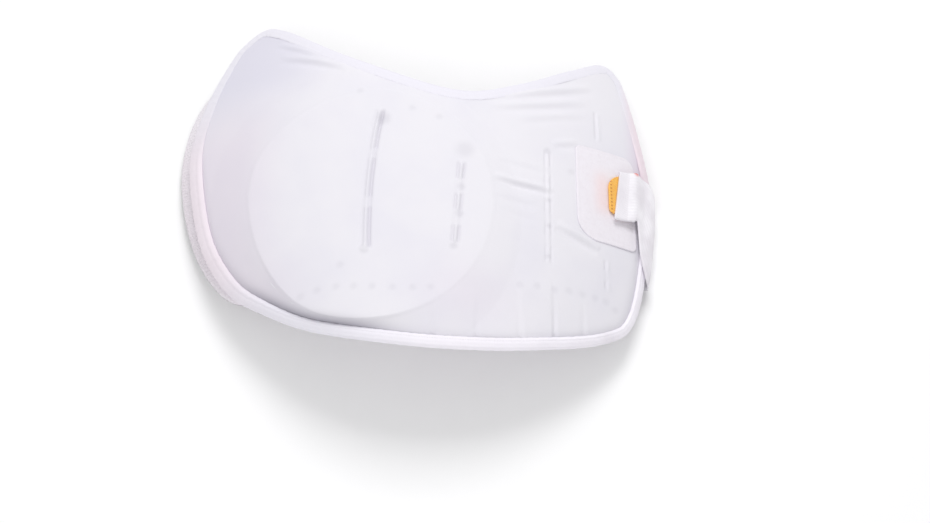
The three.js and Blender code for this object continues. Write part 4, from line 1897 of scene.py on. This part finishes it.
@dataclass
class ElasticStrap(Piece):
    """The wide elastic, from behind the left flank, along the floor and onto the patch."""

    node: ClassVar[str] = "elastic_strap"
    slot: ClassVar[str] = "strap_elastic"
    finish: ClassVar[Finishes] = Finishes.STRAP

    width: float = 38.0
    thickness: float = 1.6
    end: Place = (130.98, 10.08)
    left_along: float = 7.8
    turn_in: float = 14.0
    patch_along: float = 0.066
    steps: int = 620
    strands: int = 24
    tack: tuple[float, float, float] = (156.0, 32.0, 2.2)
    tack_low: float = 15.0

    def stations(self) -> Array:
        """Lay out the strap.

        Returns:
            Three points across the strap at each of its stations.
        """
        form, low = self.form, self.thickness / 2
        back = -3 * form.layers.gap - low
        clear = form.layers.tape_top + form.layers.gap + self.thickness
        patch_along = self.patch_along * form.half_length
        shares = np.array([-0.5, 0.0, 0.5])[:, None]
        curl = self.turn_in - form.reach(form.left_foot, self.left_along)

        def side_of(turn: float, size: int) -> Array:
            """The way across the strap at a turn."""
            angle = math.radians(turn)
            return np.array([math.sin(angle), math.cos(angle), 0.0][:size])

        def on_arch(x: float, y: float, turn: float, height: float) -> Array:
            """A station over the arch."""
            return form.above(np.array([x, y]) + shares * self.width * side_of(turn, 2), height)

        def free(x: float, y: float, z: float, turn: float) -> Array:
            """A station away from the arch."""
            return np.array([x, y, z]) + shares * self.width * side_of(turn, 3)

        def front(drift: float, turn: float, lift: float) -> Array:
            """A station near the strap's end."""
            x, y = self.end[0] + drift, self.end[1] + drift * 0.15
            return on_arch(x, y, turn, form.layers.strap_middle + lift)

        def over_rim(start: float, end: float, out: float) -> Array:
            """A station clear of the binding."""
            return form.above(form.beside(np.linspace(start, end, 3), out), clear)

        def down_rim(start: float, end: float, out: float, up: float) -> Array:
            """A station outside the rim."""
            top = form.above(form.beside(np.linspace(start, end, 3), 0.0), form.layers.tape_top)
            moved = top + (form.layers.gap + low + out, 0.0, 0.0)
            return np.column_stack([moved[:, :2], low + up * top[:, 2]])

        def on_floor(across: float, along: float, turn: float) -> Array:
            """A station on the floor."""
            return free(across * form.half_width, along, low, turn)

        def at_left(out: float, up: float, turn: float) -> Array:
            """A station where the strap turns up."""
            return free(curl + out, self.left_along, low + up, turn)

        def behind(across: float) -> Array:
            """A station behind the left flank."""
            return on_arch(across * form.half_width, self.left_along, 0.0, back)

        return np.array(
            [
                front(0, 8, 0),
                front(6, 6, 0),
                front(11, 4.2, 1.5),
                front(14.3, 3, 0.8),
                over_rim(-0.65, 0.55, -9),
                over_rim(-0.9, 0.45, -2),
                down_rim(-1, 0.3, 1.6, 0.8),
                down_rim(-1.0, 0.15, 2.2, 0.4),
                down_rim(-0.95, 0.05, 1.5, 0.05),
                down_rim(-0.93, -0.05, -7, 0),
                on_floor(0.8, patch_along - 37, 8),
                on_floor(0.4, -20, 8),
                on_floor(0, -10, 8),
                on_floor(-0.4, 0, 7),
                at_left(14, 0, 3),
                at_left(3, 0.4, 0),
                at_left(-0.5, 3.2, 0),
                at_left(1.5, 6.6, 0),
                behind(-0.86),
                behind(-0.77),
                behind(-0.66),
            ]
        )

    def build(self) -> bpy.types.Object:
        """Make the piece's mesh.

        Returns:
            The piece.
        """
        stations = self.stations()
        t = np.linspace(0, len(stations) - 1, self.steps + 1)
        lines = catmull_rom(stations, t, closed=False)
        w = np.linspace(-1, 1, self.strands + 1)
        weights = np.stack([w * (w - 1) / 2, 1 - w * w, w * (w + 1) / 2], axis=1)
        middle = np.einsum("kp,spx->skx", weights, lines)
        along = np.gradient(middle, axis=0)
        across = np.gradient(middle, axis=1)
        normal = np.cross(along, across)
        normal /= np.linalg.norm(normal, axis=2, keepdims=True)
        run = lengths(lines[:, 1])
        edge = np.sqrt(np.clip(1 - np.clip((np.abs(w) - 0.95) / 0.05, 0, 1) ** 2, 0, 1))
        half = self.thickness / 2 * (0.25 + 0.75 * edge)[None, :, None]
        flat = np.stack(np.broadcast_arrays(run[:, None], w[None, :] * self.width / 2), axis=-1)
        upper, lower = middle + normal * half, middle - normal * half
        rows = np.concatenate([upper, lower[:, ::-1]], axis=1)
        maps = np.concatenate([flat, flat[:, ::-1]], axis=1)
        rows = np.concatenate([rows, rows[:, :1]], axis=1)
        maps = np.concatenate([maps, maps[:, :1]], axis=1)
        body = Skin.grid(rows, maps).flipped()
        for k, turned in ((0, False), (-1, True)):
            cap = Skin.grid(np.stack([upper[k], lower[k]]), np.stack([flat[k], flat[k]]))
            body = body.joined(cap if turned else cap.flipped())
        x, y, size = self.tack
        away = np.linalg.norm(body.points[:, :2] - (x, y), axis=1)
        body.marks[TINT_AND_PAINTED_LIGHT] = np.exp(-((away / size) ** 4)) * (body.points[:, 2] > self.tack_low)
        LOG.info("elastic strap: %.0f mm long", run[-1])
        return body.to_object("elastic_strap_webbing", weld=0.01)


@dataclass
class Stiffening:
    """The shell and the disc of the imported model, which stay below the cover."""

    dressed: Mapping[str, Finishes] = field(
        default_factory=lambda: {"slotted_shell": Finishes.SHELL, "heart_disc": Finishes.DISC}
    )

    def dress(self, nodes: Mapping[str, bpy.types.Object]) -> None:
        """Give each node its finish.

        Args:
            nodes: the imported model's nodes by name.
        """
        for name, finish in self.dressed.items():
            slots = nodes[name].data.materials
            material = finish.value.material()
            if len(slots):
                slots[0] = material
            else:
                slots.append(material)
            LOG.info("%s: %s", name, material.name)


@dataclass
class Studio:
    """A pale floor, soft lights and the camera."""

    floor_half: float = 6.0
    camera_place: Point = (0.03498, -0.48557, 1.04663)
    camera_tilt: float = 23.0
    lens: float = 60.83
    sensor: float = 36.0
    key_place: Point = (0.15, 0.95, 1.35)
    key_size: float = 0.7
    key_power: float = 13.2
    fill_place: Point = (-0.2, -1.05, 1.1)
    fill_size: float = 1.4
    fill_power: float = 6.8
    sky: Colour = (1.0, 1.0, 1.0)
    sky_strength: float = 0.57

    def lay_floor(self) -> None:
        """Make the floor."""
        mesh = bpy.data.meshes.new("studio_floor")
        half = self.floor_half
        corners = [(-half, -half, 0), (half, -half, 0), (half, half, 0), (-half, half, 0)]
        mesh.from_pydata(corners, [], [(0, 1, 2, 3)])
        floor = bpy.data.objects.new("studio_floor", mesh)
        bpy.context.scene.collection.objects.link(floor)
        mesh.materials.append(Finishes.FLOOR.value.material())

    def light(self, name: str, place: Point, size: float, power: float) -> None:
        """Add one soft square light that faces the guard.

        Args:
            name: the light's name.
            place: where it hangs, in metres.
            size: the length of its side.
            power: its power in watts.
        """
        lamp = bpy.data.lights.new(name, "AREA")
        lamp.size = size
        lamp.energy = power
        lit = bpy.data.objects.new(name, lamp)
        x, y, z = place
        lit.location = place
        lit.rotation_euler = (math.atan2(math.hypot(x, y), z), 0.0, math.atan2(x, -y))
        bpy.context.scene.collection.objects.link(lit)

    def set_world(self) -> None:
        """Light the scene evenly from all round."""
        world = bpy.data.worlds.new("studio")
        world.use_nodes = True
        back = world.node_tree.nodes["Background"]
        back.inputs[0].default_value = (*self.sky, 1.0)
        back.inputs[1].default_value = self.sky_strength
        bpy.context.scene.world = world
        bpy.context.scene.view_settings.view_transform = "Standard"

    def set_camera(self) -> None:
        """Place the camera at the photograph's angle."""
        data = bpy.data.cameras.new("camera")
        data.lens = self.lens
        data.sensor_width = self.sensor
        camera = bpy.data.objects.new("camera", data)
        camera.location = self.camera_place
        camera.rotation_euler = (math.radians(self.camera_tilt), 0.0, 0.0)
        bpy.context.scene.collection.objects.link(camera)
        bpy.context.scene.camera = camera

    def make(self) -> None:
        """Set up floor, lights and camera."""
        self.lay_floor()
        self.light("key", self.key_place, self.key_size, self.key_power)
        self.light("fill", self.fill_place, self.fill_size, self.fill_power)
        self.set_world()
        self.set_camera()
        LOG.info("studio: camera %.2f m from the guard", math.dist(self.camera_place, (0, 0, 0)))


def main() -> None:
    """Build the guard piece by piece and set the scene."""
    logging.basicConfig(level=logging.INFO, format="%(name)s: %(message)s")
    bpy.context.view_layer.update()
    Studio().make()
    for kind in (FrontCover, EdgeBinding, TowellingPad, FasteningPatch, HookTab, ElasticStrap):
        kind().make()
    Stiffening().dress(frame["nodes"])


if __name__ == "__main__":
    main()
